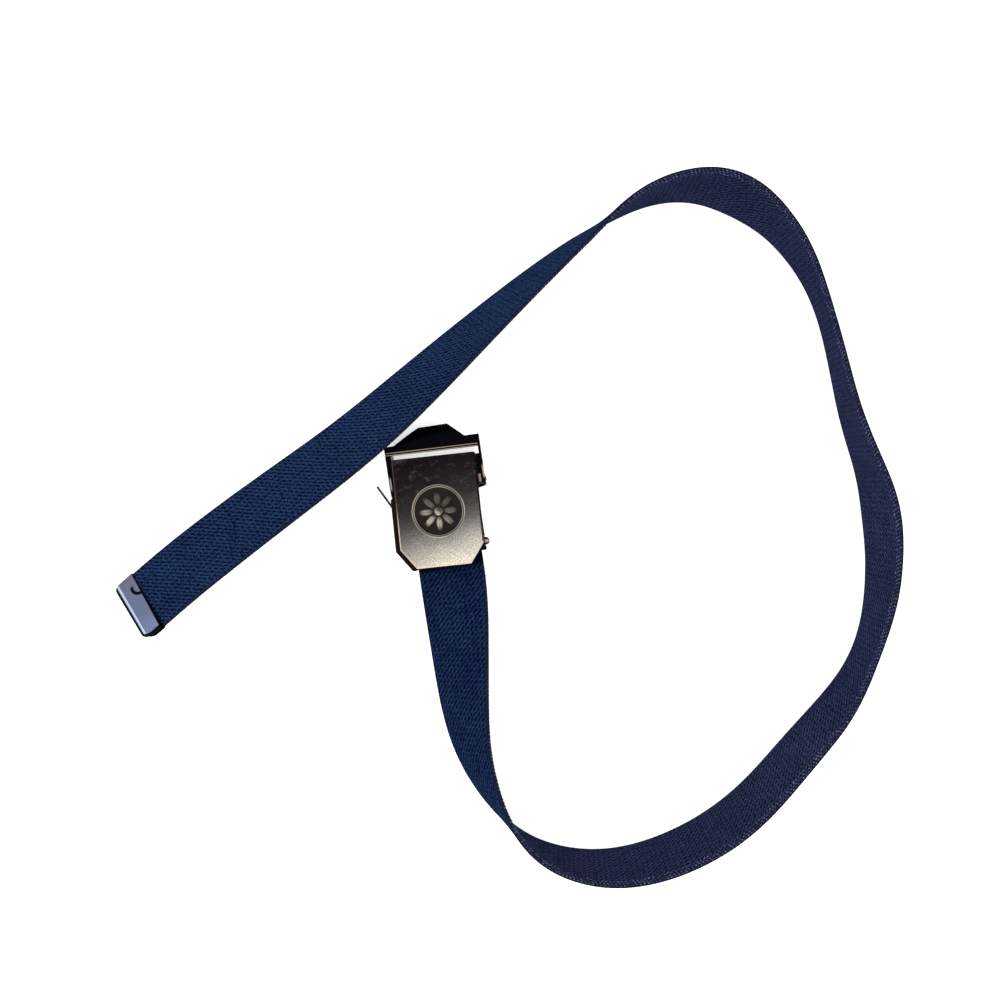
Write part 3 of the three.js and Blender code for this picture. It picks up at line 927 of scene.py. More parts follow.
def ring_grid(around: int, rows: Sequence[Callable[[int], Corner]], close: bool) -> bmesh.types.BMesh:
    """A closed band of rings, made as a grid whose two ends meet.

    Args:
        around: Points round each ring.
        rows: For each ring, the place and the tone of its nth point.
        close: Whether the last ring is filled with a face.

    Returns:
        The mesh.
    """
    bm = grid(around, len(rows) - 1)
    tone = bm.verts.layers.float.new("tone")
    for n, vert in enumerate(list(bm.verts)):
        ring, step = divmod(n, around + 1)
        *place, vert[tone] = rows[ring](step % around)
        vert.co = place
    bmesh.ops.remove_doubles(bm, verts=bm.verts, dist=1e-7)
    if close:
        loose = [e for e in bm.edges if e.is_boundary]
        top = max(v.co.z for e in loose for v in e.verts)
        bmesh.ops.holes_fill(bm, edges=[e for e in loose if all(abs(v.co.z - top) < 1e-6 for v in e.verts)])
    return bm


# The strip's lie


@dataclass(frozen=True)
class Lay:
    """One row of the strip's lie.

    Args:
        along: Share of the laid length.
        heading: Direction of travel in degrees.
        roll: How far the right-hand edge is lifted, in degrees.
    """

    along: float
    heading: float
    roll: float


LAY = (
    Lay(0.0, 41, 14), Lay(0.015, 41, 14), Lay(0.06, 37.5, 16), Lay(0.12, 36, 24), Lay(0.18, 41, 33),
    Lay(0.24, 41.5, 49), Lay(0.3, 38, 67), Lay(0.33, 32, 82), Lay(0.36, 7.5, 91), Lay(0.39, -26, 98),
    Lay(0.42, -50.5, 89), Lay(0.46, -71.5, 79), Lay(0.5, -77.5, 81), Lay(0.54, -70.5, 87),
    Lay(0.57, -82.5, 94), Lay(0.6, -94, 91), Lay(0.64, -111.5, 85), Lay(0.68, -129, 95),
    Lay(0.72, -131.5, 98), Lay(0.76, -148, 99), Lay(0.8, -168, 96), Lay(0.84, -199.5, 87),
    Lay(0.87, -230, 74), Lay(0.9, -248, 58), Lay(0.93, -262, 43), Lay(0.965, -265, 25),
    Lay(1.0, -261.5, 0),
)


def smoothstep(value: float, low: float, high: float) -> float:
    """A smooth step from 0 to 1.

    Args:
        value: The value.
        low: Where the step starts.
        high: Where the step ends.

    Returns:
        The step's height.
    """
    t = min(max((value - low) / (high - low), 0.0), 1.0)
    return t * t * (3 - 2 * t)


@dataclass
class Strip:
    """The web strip's path over the surface.

    Args:
        width: Width of the webbing.
        thickness: Its thickness.
        laid_length: Length from the tip to the buckle's cover.
        gripped: Straight end inside the buckle.
        stride: Step between stations of the path.
        clip_wall: Wall of the tip's clip.
        clip_overhang: How far the clip stands past the strip's edges.
        base_wall: Wall of the buckle's base, on which the strip's end lies.
        seat_gap: Room between the strip and the metal.
        tip_ease: Share of the length over which the tip comes down to the surface.
        tip_skew: Slope of the tip's end across the strip.
        buckle_ease: Share of the length over which the strip climbs to the base.
        start: Where the strip starts, in the frame's axes.
        places: Stations of its path, worked out from its lie.
    """

    width: float = 32 * MM
    thickness: float = 2.2 * MM
    laid_length: float = 936 * MM
    gripped: float = 26 * MM
    stride: float = 4 * MM
    clip_wall: float = 0.8 * MM
    clip_overhang: float = 0.6 * MM
    base_wall: float = 1.2 * MM
    seat_gap: float = 0.3 * MM
    tip_ease: float = 0.1
    tip_skew: float = 0.03
    buckle_ease: float = 0.05
    start: tuple[float, float] = (-175.906 * MM, -44.430 * MM)
    places: list[Vector] = field(default_factory=list)

    def __post_init__(self) -> None:
        """Walks the path and keeps its stations."""
        steps = round(self.laid_length / self.stride)
        place = Vector(self.start)
        self.places = [place.copy()]
        for i in range(steps):
            turn = math.radians(self.laid("heading", (i + 0.5) / steps))
            place += Vector((math.cos(turn), math.sin(turn))) * (self.laid_length / steps)
            self.places.append(place.copy())
        turn = math.radians(LAY[-1].heading)
        self.places.append(place + Vector((math.cos(turn), math.sin(turn))) * self.gripped)

    def laid(self, column: str, share: float) -> float:
        """A smooth curve through one column of the lay.

        Args:
            column: The column's name.
            share: Share of the laid length.

        Returns:
            The value there.
        """
        last = len(LAY) - 1
        i = 0
        while i < last - 1 and LAY[i + 1].along <= share:
            i += 1

        def slope(a: int, b: int) -> float:
            """Rise of the column between two rows."""
            return (getattr(LAY[b], column) - getattr(LAY[a], column)) / (LAY[b].along - LAY[a].along)

        gap = LAY[i + 1].along - LAY[i].along
        u = (share - LAY[i].along) / gap
        first = slope(max(i - 1, 0), i + 1) * gap
        final = slope(i, min(i + 2, last)) * gap
        return (
            (2 * u**3 - 3 * u**2 + 1) * getattr(LAY[i], column)
            + (u**3 - 2 * u**2 + u) * first
            + (3 * u**2 - 2 * u**3) * getattr(LAY[i + 1], column)
            + (u**3 - u**2) * final
        )

    def axes(self, distance: float) -> tuple[Vector, Vector, Vector, Vector]:
        """The strip's place and axes at a distance from its tip.

        Args:
            distance: Distance along the strip.

        Returns:
            Centre, direction along, direction to its left edge, and normal of its upper face.
        """
        share = min(distance / self.laid_length, 1.0)
        roll = math.radians(self.laid("roll", share))
        turn = math.radians(self.laid("heading", share))
        steps = round(self.laid_length / self.stride)
        if distance < self.laid_length:
            n = distance / self.laid_length * steps
            k = min(int(n), steps - 1)
            f = n - k
            a, b = self.places[k], self.places[k + 1]
            flat = a.lerp(b, f)
            if 0 < k < steps - 1:
                flat += (a + b - self.places[k - 1] - self.places[k + 2]) * 0.25 * f * (1 - f)
        else:
            flat = self.places[-2].lerp(self.places[-1], (distance - self.laid_length) / self.gripped)
        start_roll = math.radians(LAY[0].roll)
        tip = self.clip_overhang * math.sin(start_roll)
        tip += (self.seat_gap + self.clip_wall) * math.cos(start_roll)
        lift = tip * (1 - smoothstep(share, LAY[1].along, self.tip_ease))
        lift += (self.base_wall + self.seat_gap) * smoothstep(share, 1 - self.buckle_ease, 1)
        edge = self.width / 2 * abs(math.sin(roll)) + self.thickness / 2 * abs(math.cos(roll))
        centre = Vector((flat.x, flat.y, edge + lift))
        along = Vector((math.cos(turn), math.sin(turn), 0))
        left = Matrix.Rotation(-roll, 3, along) @ Vector((0, 0, 1)).cross(along)
        return centre, along, left, along.cross(left)


@dataclass
class Webbing:
    """The woven strip and the knitted chain along its right-hand edge.

    Args:
        strip: The strip's path.
        finish: Look of the cloth.
        thread: Look of the edge's thread.
        cell: Size of a mesh cell.
        chain_pitch: Length of one loop of the edge chain.
        chain_batch: Loops that are built at a time.
        lanes: For each lane of the chain, its distance from the strip's edge and its place through the
            thickness as a share.
        strand: Half lengths of a strand: along it, across it and outwards.
        edge_pinch: How much thinner the strip is at its edges, as a share.
        tip_free: Length over which the tip's slope dies out.
        tip_narrowing: How much narrower the tip is, as a share.
        ripple_pitch: Length of a ripple of its edges in millimetres.
        ripple: Height of the ripples.
    """

    strip: Strip
    finish: WovenFinish
    thread: ThreadFinish
    cell: float = 0.95 * MM
    chain_pitch: float = 1.75 * MM
    chain_batch: int = 40
    lanes: tuple[tuple[float, float], ...] = ((0.0, 0.15), (0.5 * MM, 0.40), (1.9 * MM, 0.50))
    strand: Point = (0.52 * MM, 0.26 * MM, 0.22 * MM)
    edge_pinch: float = 0.28
    tip_free: float = 30 * MM
    tip_narrowing: float = 0.12
    ripple_pitch: float = 3.5
    ripple: float = 0.10 * MM

    def build(self) -> None:
        cloth = self.cloth()
        chain = self.chain()

    def section(self) -> list[tuple[float, float, float, float]]:
        """The strip's cross-section.

        Returns:
            Rows of left, up, width coordinate and inner share, once round.
        """
        s = self.strip
        lanes = round(s.width / self.cell)
        rows = []
        for face, sign in ((Face.OUTER, 1), (Face.INNER, -1)):
            for i in range(lanes + 1):
                x = s.width * (i / lanes - 0.5) * sign
                crown = 1 - self.edge_pinch * smoothstep(abs(x), s.width / 2 - 1.3 * MM, s.width / 2)
                rows.append((-x, sign * s.thickness / 2 * crown, s.width / 2 - x, face.value))
        return rows

    def cloth(self) -> bpy.types.Object:
        """Builds the strip of cloth.

        Returns:
            The cloth's object.
        """
        s = self.strip
        section = self.section()
        total = s.laid_length + s.gripped
        steps = round(total / self.cell)
        around = len(section)
        bm = grid(around, steps)
        uv = bm.loops.layers.uv.new("weave")
        inner = bm.verts.layers.float.new("inner")
        stations = [(total * i / steps, *s.axes(total * i / steps)) for i in range(steps + 1)]
        spots = {}
        for n, vert in enumerate(bm.verts):
            step, k = divmod(n, around + 1)
            left, up, across, side = section[k % around]
            distance, centre, ahead, sideways, face = stations[step]
            free = smoothstep(distance, 0, self.tip_free)
            slide = ahead * s.tip_skew * (left + s.width / 2) * (1 - free)
            narrow = 1 - self.tip_narrowing * (1 - smoothstep(distance, 0, 4 * MM))
            swell = math.sin(distance / MM * 2 * math.pi / self.ripple_pitch)
            swell *= smoothstep(abs(left), s.width / 2 - 2 * MM, s.width / 2)
            shifted = left * narrow + math.copysign(self.ripple * swell, left)
            vert.co = centre + slide + sideways * shifted + face * up
            vert[inner] = side
            spots[n] = (distance, across if k < around else section[0][2])
        for face in bm.faces:
            for loop in face.loops:
                loop[uv].uv = spots[loop.vert.index]
        bmesh.ops.remove_doubles(bm, verts=bm.verts, dist=1e-7)
        bmesh.ops.holes_fill(bm, edges=[e for e in bm.edges if e.is_boundary])
        return finish_piece(
            bm, "web_cloth", self.finish.material(), Body.BELT, Slot.CANVAS, replaces=["web_strip"]
        )

    def chain(self) -> bpy.types.Object:
        """Builds the chain of small loops knitted along the right-hand edge.

        Returns:
            The chain's object.
        """
        s = self.strip
        bm = bmesh.new()
        start, end = 12 * MM, s.laid_length + 2 * MM
        count = round((end - start) / self.chain_pitch)
        for first in range(0, count, self.chain_batch):
            batch = bmesh.new()
            for i in range(first, min(first + self.chain_batch, count)):
                distance = start + (i + 0.5) * (end - start) / count
                for lane in range(len(self.lanes)):
                    self.stitch(batch, distance + (lane - 1) * 0.3 * self.chain_pitch, lane)
            merge_into(bm, batch)
        return finish_piece(bm, "web_edge_chain", self.thread.material(), Body.BELT, Slot.CANVAS)

    def stitch(self, bm: bmesh.types.BMesh, distance: float, lane: int) -> None:
        """Adds one leaning strand of a loop.

        Args:
            bm: The mesh that grows.
            distance: Where the strand sits along the strip.
            lane: Its lane: 0 on the edge, 1 at its corner, 2 on the inner face.
        """
        s = self.strip
        made = bmesh.ops.create_uvsphere(bm, u_segments=6, v_segments=4, radius=1.0)
        centre, along, left, face = s.axes(distance)
        wobble = math.sin(distance / MM * 2.7) + math.sin(distance / MM * 4.3 + lane)
        inset, depth = self.lanes[lane]
        middle = centre - left * (s.width / 2 - inset - wobble * 0.12 * MM) - face * (s.thickness * depth)
        out = face if lane else left
        axis = (along * 0.75 + out.cross(along) * (0.66 if lane == 1 else -0.66)).normalized()
        side = axis.cross(out).normalized()
        size = 1 + 0.2 * wobble
        length, width, height = self.strand
        for vert in made["verts"]:
            x, y, z = vert.co * size
            vert.co = middle + axis * (z * length) + side * (x * width) + out * (y * height)


@dataclass
class TipClip:
    """The folded metal clip on the strip's tip.

    Args:
        strip: The strip's path.
        depth: Its depth along the strip.
        corner: Radius of its end's left-hand corner.
        right_corner: Radius of its right-hand one.
        overhang: How far it stands past each edge of the strip.
        seam_skew: Slope of its open edge across the strip.
    """

    strip: Strip
    depth: float = 11 * MM
    corner: float = 4 * MM
    right_corner: float = 6 * MM
    overhang: float = 0.15 * MM
    seam_skew: float = 0.08

    def build(self) -> None:
        """Builds the clip as one folded sheet."""
        s = self.strip
        mid = s.thickness / 2 + s.seat_gap + s.clip_wall / 2
        half = s.width / 2 + self.overhang
        back = -(s.seat_gap + s.clip_wall)
        front = back + self.depth
        bend_x = back + s.clip_wall / 2 + mid
        straight, bend, across = 7, 12, 24
        reach = front - bend_x
        profile = [(front - reach * i / straight, mid, reach * i / straight) for i in range(straight)]
        for i in range(bend + 1):
            turn = math.pi / 2 + math.pi * i / bend
            down = reach + mid * math.pi * i / bend
            profile.append((bend_x + mid * math.cos(turn), mid * math.sin(turn), down))
        under = reach + math.pi * mid
        for i in range(1, straight + 1):
            profile.append((bend_x + reach * i / straight, -mid, under + reach * i / straight))
        bm = grid(across, len(profile) - 1)
        uv = bm.loops.layers.uv.new("sheet")
        centre, along, left, face = s.axes(0.0)
        spots = {}
        for n, vert in enumerate(bm.verts):
            row, k = divmod(n, across + 1)
            x, z, down = profile[row]
            share = 2 * k / across - 1
            corner = self.corner if share > 0 else self.right_corner
            side = half
            if x - back < corner:
                side = half - corner + math.sqrt(max(corner**2 - (corner - (x - back)) ** 2, 0.0))
            y = side * math.copysign(1 - (1 - abs(share)) ** 1.6, share)
            pinch = 1 - 0.10 * smoothstep(abs(y), half - 3 * MM, half)
            skew = s.tip_skew + (self.seam_skew - s.tip_skew) * max(x - back, 0.0) / self.depth
            vert.co = centre + along * (x + skew * (y + half)) + left * y + face * z * pinch
            spots[n] = (y + math.copysign(half - side, y), down)
        for sheet_face in bm.faces:
            for loop in sheet_face.loops:
                loop[uv].uv = spots[loop.vert.index]
        finish = SatinFinish(fold_at=reach / MM, half=half / MM)
        piece = finish_piece(bm, "clip_shell", finish.material(), Body.BELT, Slot.CLIP, replaces=["tip_clip"])
        thickened(piece, s.clip_wall)
        bevelled(piece, 0.25 * MM, 3)


@dataclass
class Buckle:
    """The flip-cover buckle: frame, clamp bar, pin, prong, cover and medallion.

    Its sizes are in the buckle's axes: x along it, from where the strip leaves the cover, y to its
    left, and z up. The cover's are in the cover's axes, which start at the hinge.

    Args:
        strip: The strip, whose laid end gives the buckle's axes.
        base_start: Lower end of the base plate.
        base_length: Its length.
        base_width: Its width at the clamp bar.
        frame_width: Width over the ears.
        foot: Length of the wide foot that the ears stand on.
        flare: Length over which the base widens to it.
        ear_wall: Thickness of an ear.
        ear_height: Height of the ears.
        ear_arm: Depth of the arms that carry the crossbar.
        hinge_along: Place of the hinge pin.
        hinge_height: Its height.
        pin_radius: Its radius.
        bar_start: Lower edge of the crossbar.
        bar_depth: Its depth along the buckle.
        bar_wall: Thickness of the crossbar and its lip.
        bar_drop: How much lower its lower edge runs at its right end.
        lip_reach: How far the lip stands past the crossbar.
        lip_drop: How far the lip bends down.
        lip_width: Width of the lip's end.
        lip_root: Width of its root.
        lip_shift: How far its end sits to the right.
        lip_root_shift: How far its root sits to the left.
        cover_length: Length of the cover.
        cover_width: Its width.
        cover_tail: How much of it lies on the strip's side of the hinge.
        cover_top: Height of its upper face.
        cover_rim: Depth of its turned-down edge.
        cover_wall: Thickness of its sheet.
        cover_shift: How far it sits to the left.
        cover_skew: How far it is turned clockwise.
        chamfer_across: Size of its lower corners across the buckle.
        chamfer_along: Their size along it.
        roll: Width of the rolled edge round its face.
        roll_rise: Height of the rolled edge.
        side_clearance: Gap between the cover's sides and the pads.
        lug_radius: Radius of the lugs' round ends.
        lug_wall: Thickness of a lug.
        lug_inset: How far the lugs sit inside the cover's sides.
        flange_reach: How far the flange stands past the cover's left side.
        flange_top: Height of its upper face.
        flange_end: Distance from the hinge to its upper end.
        clamp_along: Place of the clamp bar.
        clamp_height: Its height.
        clamp_radius: Its radius.
        cheek_length: Length of the cheeks that hold the clamp bar.
        cheek_wall: Their thickness.
        cheek_top: Their height.
        prong_angle: Angle of the prong to the buckle.
        prong_clear: Distance from the foot to the prong, in line with the left ear.
        prong_length: Its length.
        prong_radius: Its radius.
        head_gap: Room between the ear and the head beside the pin.
        head_width: Width of that head across the buckle.
        head_below: How far it reaches below the pin.
        head_above: How far it reaches above it.
        head_bevel: Width of its dull border.
        medallion_radius: Radius of the medallion.
        medallion_along: Distance of its middle from the hinge.
        petals: Petals of its rosette.
        petal_length: Length of a petal.
        petal_middle: Distance of a petal's middle from the medallion's.
        boss_radius: Radius of the rosette's boss.
    """

    strip: Strip
    # Base, ears and hinge
    base_start: float = 9.5 * MM
    base_length: float = 36.5 * MM
    base_width: float = 37 * MM
    frame_width: float = 46.4 * MM
    foot: float = 5 * MM
    flare: float = 0.8 * MM
    ear_wall: float = 1.2 * MM
    ear_height: float = 9.6 * MM
    ear_arm: float = 5.2 * MM
    hinge_along: float = 45 * MM
    hinge_height: float = 5.6 * MM
    pin_radius: float = 1.2 * MM
    # Crossbar and its lip
    bar_start: float = 61.5 * MM
    bar_depth: float = 4.4 * MM
    bar_wall: float = 1.4 * MM
    bar_drop: float = 1.6 * MM
    lip_reach: float = 7 * MM
    lip_drop: float = 3.2 * MM
    lip_width: float = 14.2 * MM
    lip_root: float = 34.6 * MM
    lip_shift: float = 1.4 * MM
    lip_root_shift: float = 1 * MM
    # Cover and flange
    cover_length: float = 53.6 * MM
    cover_width: float = 40.8 * MM
    cover_tail: float = 40.2 * MM
    cover_top: float = 11.2 * MM
    cover_rim: float = 2 * MM
    cover_wall: float = 1.08 * MM
    cover_shift: float = 0.7 * MM
    cover_skew: float = math.radians(2.5)
    chamfer_across: float = 7.2 * MM
    chamfer_along: float = 9.9 * MM
    roll: float = 0.55 * MM
    roll_rise: float = 0.9 * MM
    side_clearance: float = 0.06 * MM
    lug_radius: float = 2.6 * MM
    lug_wall: float = 1.5 * MM
    lug_inset: float = 3 * MM
    flange_reach: float = 2.2 * MM
    flange_top: float = 10.6 * MM
    flange_end: float = 4.6 * MM
    # Clamp bar, prong, head and medallion
    clamp_along: float = 14 * MM
    clamp_height: float = 5.9 * MM
    clamp_radius: float = 1.9 * MM
    cheek_length: float = 4.8 * MM
    cheek_wall: float = 1.2 * MM
    cheek_top: float = 8.9 * MM
    prong_angle: float = math.radians(27.5)
    prong_clear: float = 7 * MM
    prong_length: float = 28 * MM
    prong_radius: float = 0.55 * MM
    head_gap: float = 0.5 * MM
    head_width: float = 1.4 * MM
    head_below: float = 2.4 * MM
    head_above: float = 1.7 * MM
    head_bevel: float = 0.42 * MM
    medallion_radius: float = 13 * MM
    medallion_along: float = 13.4 * MM
    petals: int = 8
    petal_length: float = 7.2 * MM
    petal_middle: float = 5.9 * MM
    boss_radius: float = 2.3 * MM

    def __post_init__(self) -> None:
        """Works out the buckle's and the cover's axes and prepares the metals."""
        turn = math.radians(LAY[-1].heading)
        place = self.strip.places[-2]
        self.axes = Matrix.Translation((place.x, place.y, 0)) @ Matrix.Rotation(turn, 4, "Z")
        skewed = Matrix.Translation((self.hinge_along, self.cover_shift, 0))
        self.cover_axes = skewed @ Matrix.Rotation(-self.cover_skew, 4, "Z")
        self.plate = BrushedFinish("gunmetal_plate").material()
        self.dark = BlackenedFinish("gunmetal_frame").material()
        self.bar = BlackenedFinish(
            "crossbar_metal", line_lean=self.bar_drop / self.frame_width,
            lines=tuple((self.bar_start - self.bar_drop / 2 + inset * MM) / MM for inset in (0.28, 1.35)),
        ).material()
        self.rust = BlackenedFinish(
            "flange_metal", colour=(0.0120, 0.0060, 0.0055), wear_and_glint=(0.30, 0.19, 0.16), rough=0.34
        ).material()
        self.steel = BlackenedFinish(
            "rod_metal", colour=(0.030, 0.028, 0.028), wear_and_glint=(0.50, 0.44, 0.38)
        ).material()

    def placed(
        self, bm: bmesh.types.BMesh, name: str, finish: bpy.types.Material, body: Body, **more: object
    ) -> bpy.types.Object:
        """Maps a mesh in the buckle's axes and puts it in the frame's.

        Args:
            bm: The mesh, in the buckle's axes.
            name: The piece's name.
            finish: Its material.
            body: The body that it rides on.
            more: Further arguments of finish_piece.

        Returns:
            The new object.
        """
        plan_uv(bm)
        bmesh.ops.transform(bm, matrix=self.axes, verts=bm.verts)
        return finish_piece(bm, name, finish, body, Slot.GUNMETAL, **more)

    def build(self) -> None:
        """Builds every piece of the buckle."""
        self.base()
        self.crossbar()
        self.rods()
        self.cover()
        self.flange()
        self.lugs()
        self.medallion()
        self.ear_fittings()

    def base(self) -> None:
        """Builds the base plate, clamp cheeks and ears."""
        half, inner = self.frame_width / 2, self.base_width / 2
        end = self.base_start + self.base_length
        foot = end - self.foot
        outline = [
            (self.base_start, -inner), (foot - self.flare, -inner), (foot, -half), (end, -half),
            (end, half), (foot, half), (foot - self.flare, inner), (self.base_start, inner),
        ]
        wall = self.strip.base_wall
        bm = outline_solid(outline, 0.0, wall)
        long, wide = self.cheek_length / 2, self.cheek_wall / 2
        for side in (-1, 1):
            x, y = self.clamp_along, side * (inner - wide)
            corners = [(x - long, y - wide), (x + long, y - wide), (x + long, y + wide), (x - long, y + wide)]
            merge_into(bm, outline_solid(corners, wall / 2, self.cheek_top))
            merge_into(bm, self.ear(side))
        # Painted glint on the right-facing faces of the ears: the outer face of the right ear and the inner
        # face of the left one
        tone = bm.verts.layers.float.new("tone")
        for vert in bm.verts:
            right_ear = abs(vert.co.y + half) < 0.01 * MM
            left_ear = abs(vert.co.y - half + self.ear_wall) < 0.01 * MM
            vert[tone] = 1.0 if (right_ear or left_ear) and vert.co.z > wall + 0.1 * MM else 0.0
        finish = BlackenedFinish("ear_metal", glint=(43.5, 46.5, 49.5, 51.5)).material()
        piece = self.placed(bm, "buckle_base", finish, Body.BELT, replaces=["buckle_frame"])
        bevelled(piece, 0.3 * MM, 3)

    def ear(self, side: int) -> bmesh.types.BMesh:
        """One ear with the arm that carries the crossbar.

        Args:
            side: 1 for the left ear, -1 for the right one.

        Returns:
            The ear's mesh, in the buckle's axes.
        """
        end = self.base_start + self.base_length
        foot, shoulder = end - self.foot, self.bar_start + self.bar_depth
        arm = self.ear_height - self.ear_arm
        profile = [
            (foot, 0.0), (end, 0.0), (end + arm * 0.3, arm * 0.55), (end + arm, arm), (shoulder - MM, arm),
            (shoulder, arm + MM), (shoulder, self.ear_height - 0.7 * MM), (self.bar_start, self.ear_height),
            (end, self.ear_height), (foot + MM, self.ear_height - MM), (foot, self.ear_height - 2.4 * MM),
        ]
        bm = outline_solid(profile, -self.ear_wall / 2, self.ear_wall / 2)
        place = Matrix.Translation((0, side * (self.frame_width - self.ear_wall) / 2, 0))
        bmesh.ops.transform(bm, matrix=place @ UPRIGHT, verts=bm.verts)
        return bm

    def crossbar(self) -> None:
        """Builds the crossbar and its curved lip as one bent sheet."""
        shoulder = self.bar_start + self.bar_depth
        bends, across = 16, 32
        wide = self.frame_width / 2
        rows = [(self.bar_start + self.bar_depth * i / 4, wide, 0.0) for i in range(5)]
        for i in range(bends + 1):
            f = i / bends
            half = self.lip_root / 2 + (self.lip_width - self.lip_root) / 2 * f
            shift = self.lip_shift * f - self.lip_root_shift * (1 - f)
            rows.append((shoulder + 0.01 * MM + self.lip_reach * f, half, shift))
        bm = grid(across, len(rows) - 1)
        for n, vert in enumerate(bm.verts):
            row, k = divmod(n, across + 1)
            x, half, shift = rows[row]
            f = max(0.0, (x - shoulder) / self.lip_reach)
            drop = self.lip_drop * f**1.8
            near = 1 - min((x - self.bar_start) / self.bar_depth, 1.0)
            x -= self.bar_drop * near * k / across
            vert.co = (x, half * (1 - 2 * k / across) - shift, self.ear_height - self.bar_wall / 2 - drop)
        piece = self.placed(bm, "crossbar", self.bar, Body.BELT)
        thickened(piece, self.bar_wall)
        bevelled(piece, 0.4 * MM, 4)

    def rod(self, radius: float, start: Vector, end: Vector, rounding: float = 0.35) -> bmesh.types.BMesh:
        """A round rod with rounded ends.

        Args:
            radius: The rod's radius.
            start: Middle of one end, in the buckle's axes.
            end: Middle of the other end.
            rounding: How far its ends are rounded, as a share of the radius.

        Returns:
            The rod's mesh, in the buckle's axes.
        """
        bm = bmesh.new()
        length = (end - start).length
        bmesh.ops.create_cone(bm, cap_ends=True, segments=32, radius1=radius, radius2=radius, depth=length)
        rims = [e for e in bm.edges if len({v.co.z > 0 for v in e.verts}) == 1]
        bmesh.ops.bevel(
            bm, geom=rims, offset=radius * rounding, segments=5, affect="EDGES", profile=0.5, material=-1
        )
        turn = (end - start).to_track_quat("Z", "Y").to_matrix().to_4x4()
        bmesh.ops.transform(bm, matrix=Matrix.Translation((start + end) / 2) @ turn, verts=bm.verts)
        return bm

    def rods(self) -> None:
        """Builds the clamp bar, the hinge pin and the side prong."""
        reach = self.base_width / 2 + 2.3 * MM
        ends = [Vector((self.clamp_along, side * reach, self.clamp_height)) for side in (-1, 1)]
        clamp = self.rod(self.clamp_radius, *ends, rounding=0.9)
        # Painted highlight along the clamp bar's upper ridge
        tone = clamp.verts.layers.float.new("tone")
        for vert in clamp.verts:
            high = vert.co.z > self.clamp_height + 0.6 * self.clamp_radius
            middle = abs(vert.co.x - self.clamp_along) < 0.45 * self.clamp_radius
            vert[tone] = 0.6 if high and middle else 0.0
        self.placed(clamp, "clamp_rod", self.dark, Body.BELT, replaces=["clamp_bar"])
        reach = self.frame_width / 2 + 0.5 * MM
        ends = [Vector((0, side * reach - self.cover_shift, self.hinge_height)) for side in (-1, 1)]
        pin = self.rod(self.pin_radius, *(self.cover_axes @ end for end in ends))
        self.placed(pin, "hinge_rod", self.steel, Body.BELT, replaces=["hinge_pin"])
        root_y = self.base_width / 2 - 0.9 * MM
        root_x = self.base_start + self.base_length - self.foot - self.prong_clear
        root_x -= (self.frame_width / 2 - root_y) / math.tan(self.prong_angle)
        root = Vector((root_x, root_y, 2.05 * MM))
        tip = root + Vector((math.cos(self.prong_angle), math.sin(self.prong_angle), 0)) * self.prong_length
        prong = self.rod(self.prong_radius, root, tip)
        self.placed(prong, "prong_rod", self.steel, Body.BELT, replaces=["side_prong"])

    def cover(self) -> None:
        """Builds the cover as a pressed shell with a rolled edge and a hole for the medallion."""
        head, tail, side = self.cover_length - self.cover_tail, -self.cover_tail, self.cover_width / 2
        tight, wide = 1.0 * MM, 1.3 * MM
        corners = [
            (head, -side, tight), (head, side, tight), (tail + self.chamfer_along, side, wide),
            (tail, side - self.chamfer_across, wide), (tail, -side + self.chamfer_across, wide),
            (tail + self.chamfer_along, -side, wide),
        ]
        edge = rounded(corners, 6, 3 * MM)

        def painted_edge_light(nx: float, ny: float) -> float:
            """Painted highlight and shade of an edge, by the way that it faces."""
            left, lower = smoothstep(ny, 0.4, 0.7), 0.8 * smoothstep(-nx, 0.2, 0.5)
            return max(left, lower) - smoothstep(-ny, 0.85, 0.97) * (1 - smoothstep(-nx, 0.1, 0.4))

        def on_edge(height: float, bend: float, lit: float) -> Callable[[int], Corner]:
            """A ring round the turned-down edge."""

            def place(n: int) -> Corner:
                """The ring's nth point."""
                x, y, nx, ny = edge[n]
                inset = self.roll * (1 - math.cos(bend))
                rise = height + self.roll_rise * math.sin(bend)
                return x - nx * inset, y - ny * inset, rise, (painted_edge_light(nx, ny) + 1) * lit - 1

            return place

        def on_face(inset: float) -> Callable[[int], Corner]:
            """A ring on the flat face, inside its edge."""

            def place(n: int) -> Corner:
                """The ring's nth point."""
                x, y, nx, ny = edge[n]
                return x - nx * inset, y - ny * inset, self.cover_top, 0.0

            return place

        def on_circle(radius: float) -> Callable[[int], Corner]:
            """A ring round the medallion's hole."""

            def place(n: int) -> Corner:
                """The ring's nth point."""
                x, y = edge[n][0] + self.medallion_along, edge[n][1]
                reach = math.hypot(x, y)
                return radius * x / reach - self.medallion_along, radius * y / reach, self.cover_top, 0.0

            return place

        base = self.cover_top - self.roll_rise
        # The turned-down side carries painted shade all round; the rolled edge above it painted highlight
        # where it faces left or down, painted shade where it faces right
        rows = [on_edge(self.cover_top - self.cover_rim, 0.0, 0.0), on_edge(base - 0.5 * MM, 0.0, 0.0)]
        rows += [on_edge(base, math.pi / 2 * k / 8, smoothstep(k, 2, 6)) for k in range(9)]
        rows += [on_face(0.95 * MM)]
        rows += [on_circle(self.medallion_radius + 0.6 * MM), on_circle(self.medallion_radius - 0.6 * MM)]
        bm = ring_grid(len(edge), rows, close=False)
        bmesh.ops.transform(bm, matrix=self.cover_axes, verts=bm.verts)
        piece = self.placed(bm, "cover_shell", self.plate, Body.COVER, replaces=["cover_plate"])
        thickened(piece, self.cover_wall, -1.0)
        bevelled(piece, 0.12 * MM, 2, 50.0)

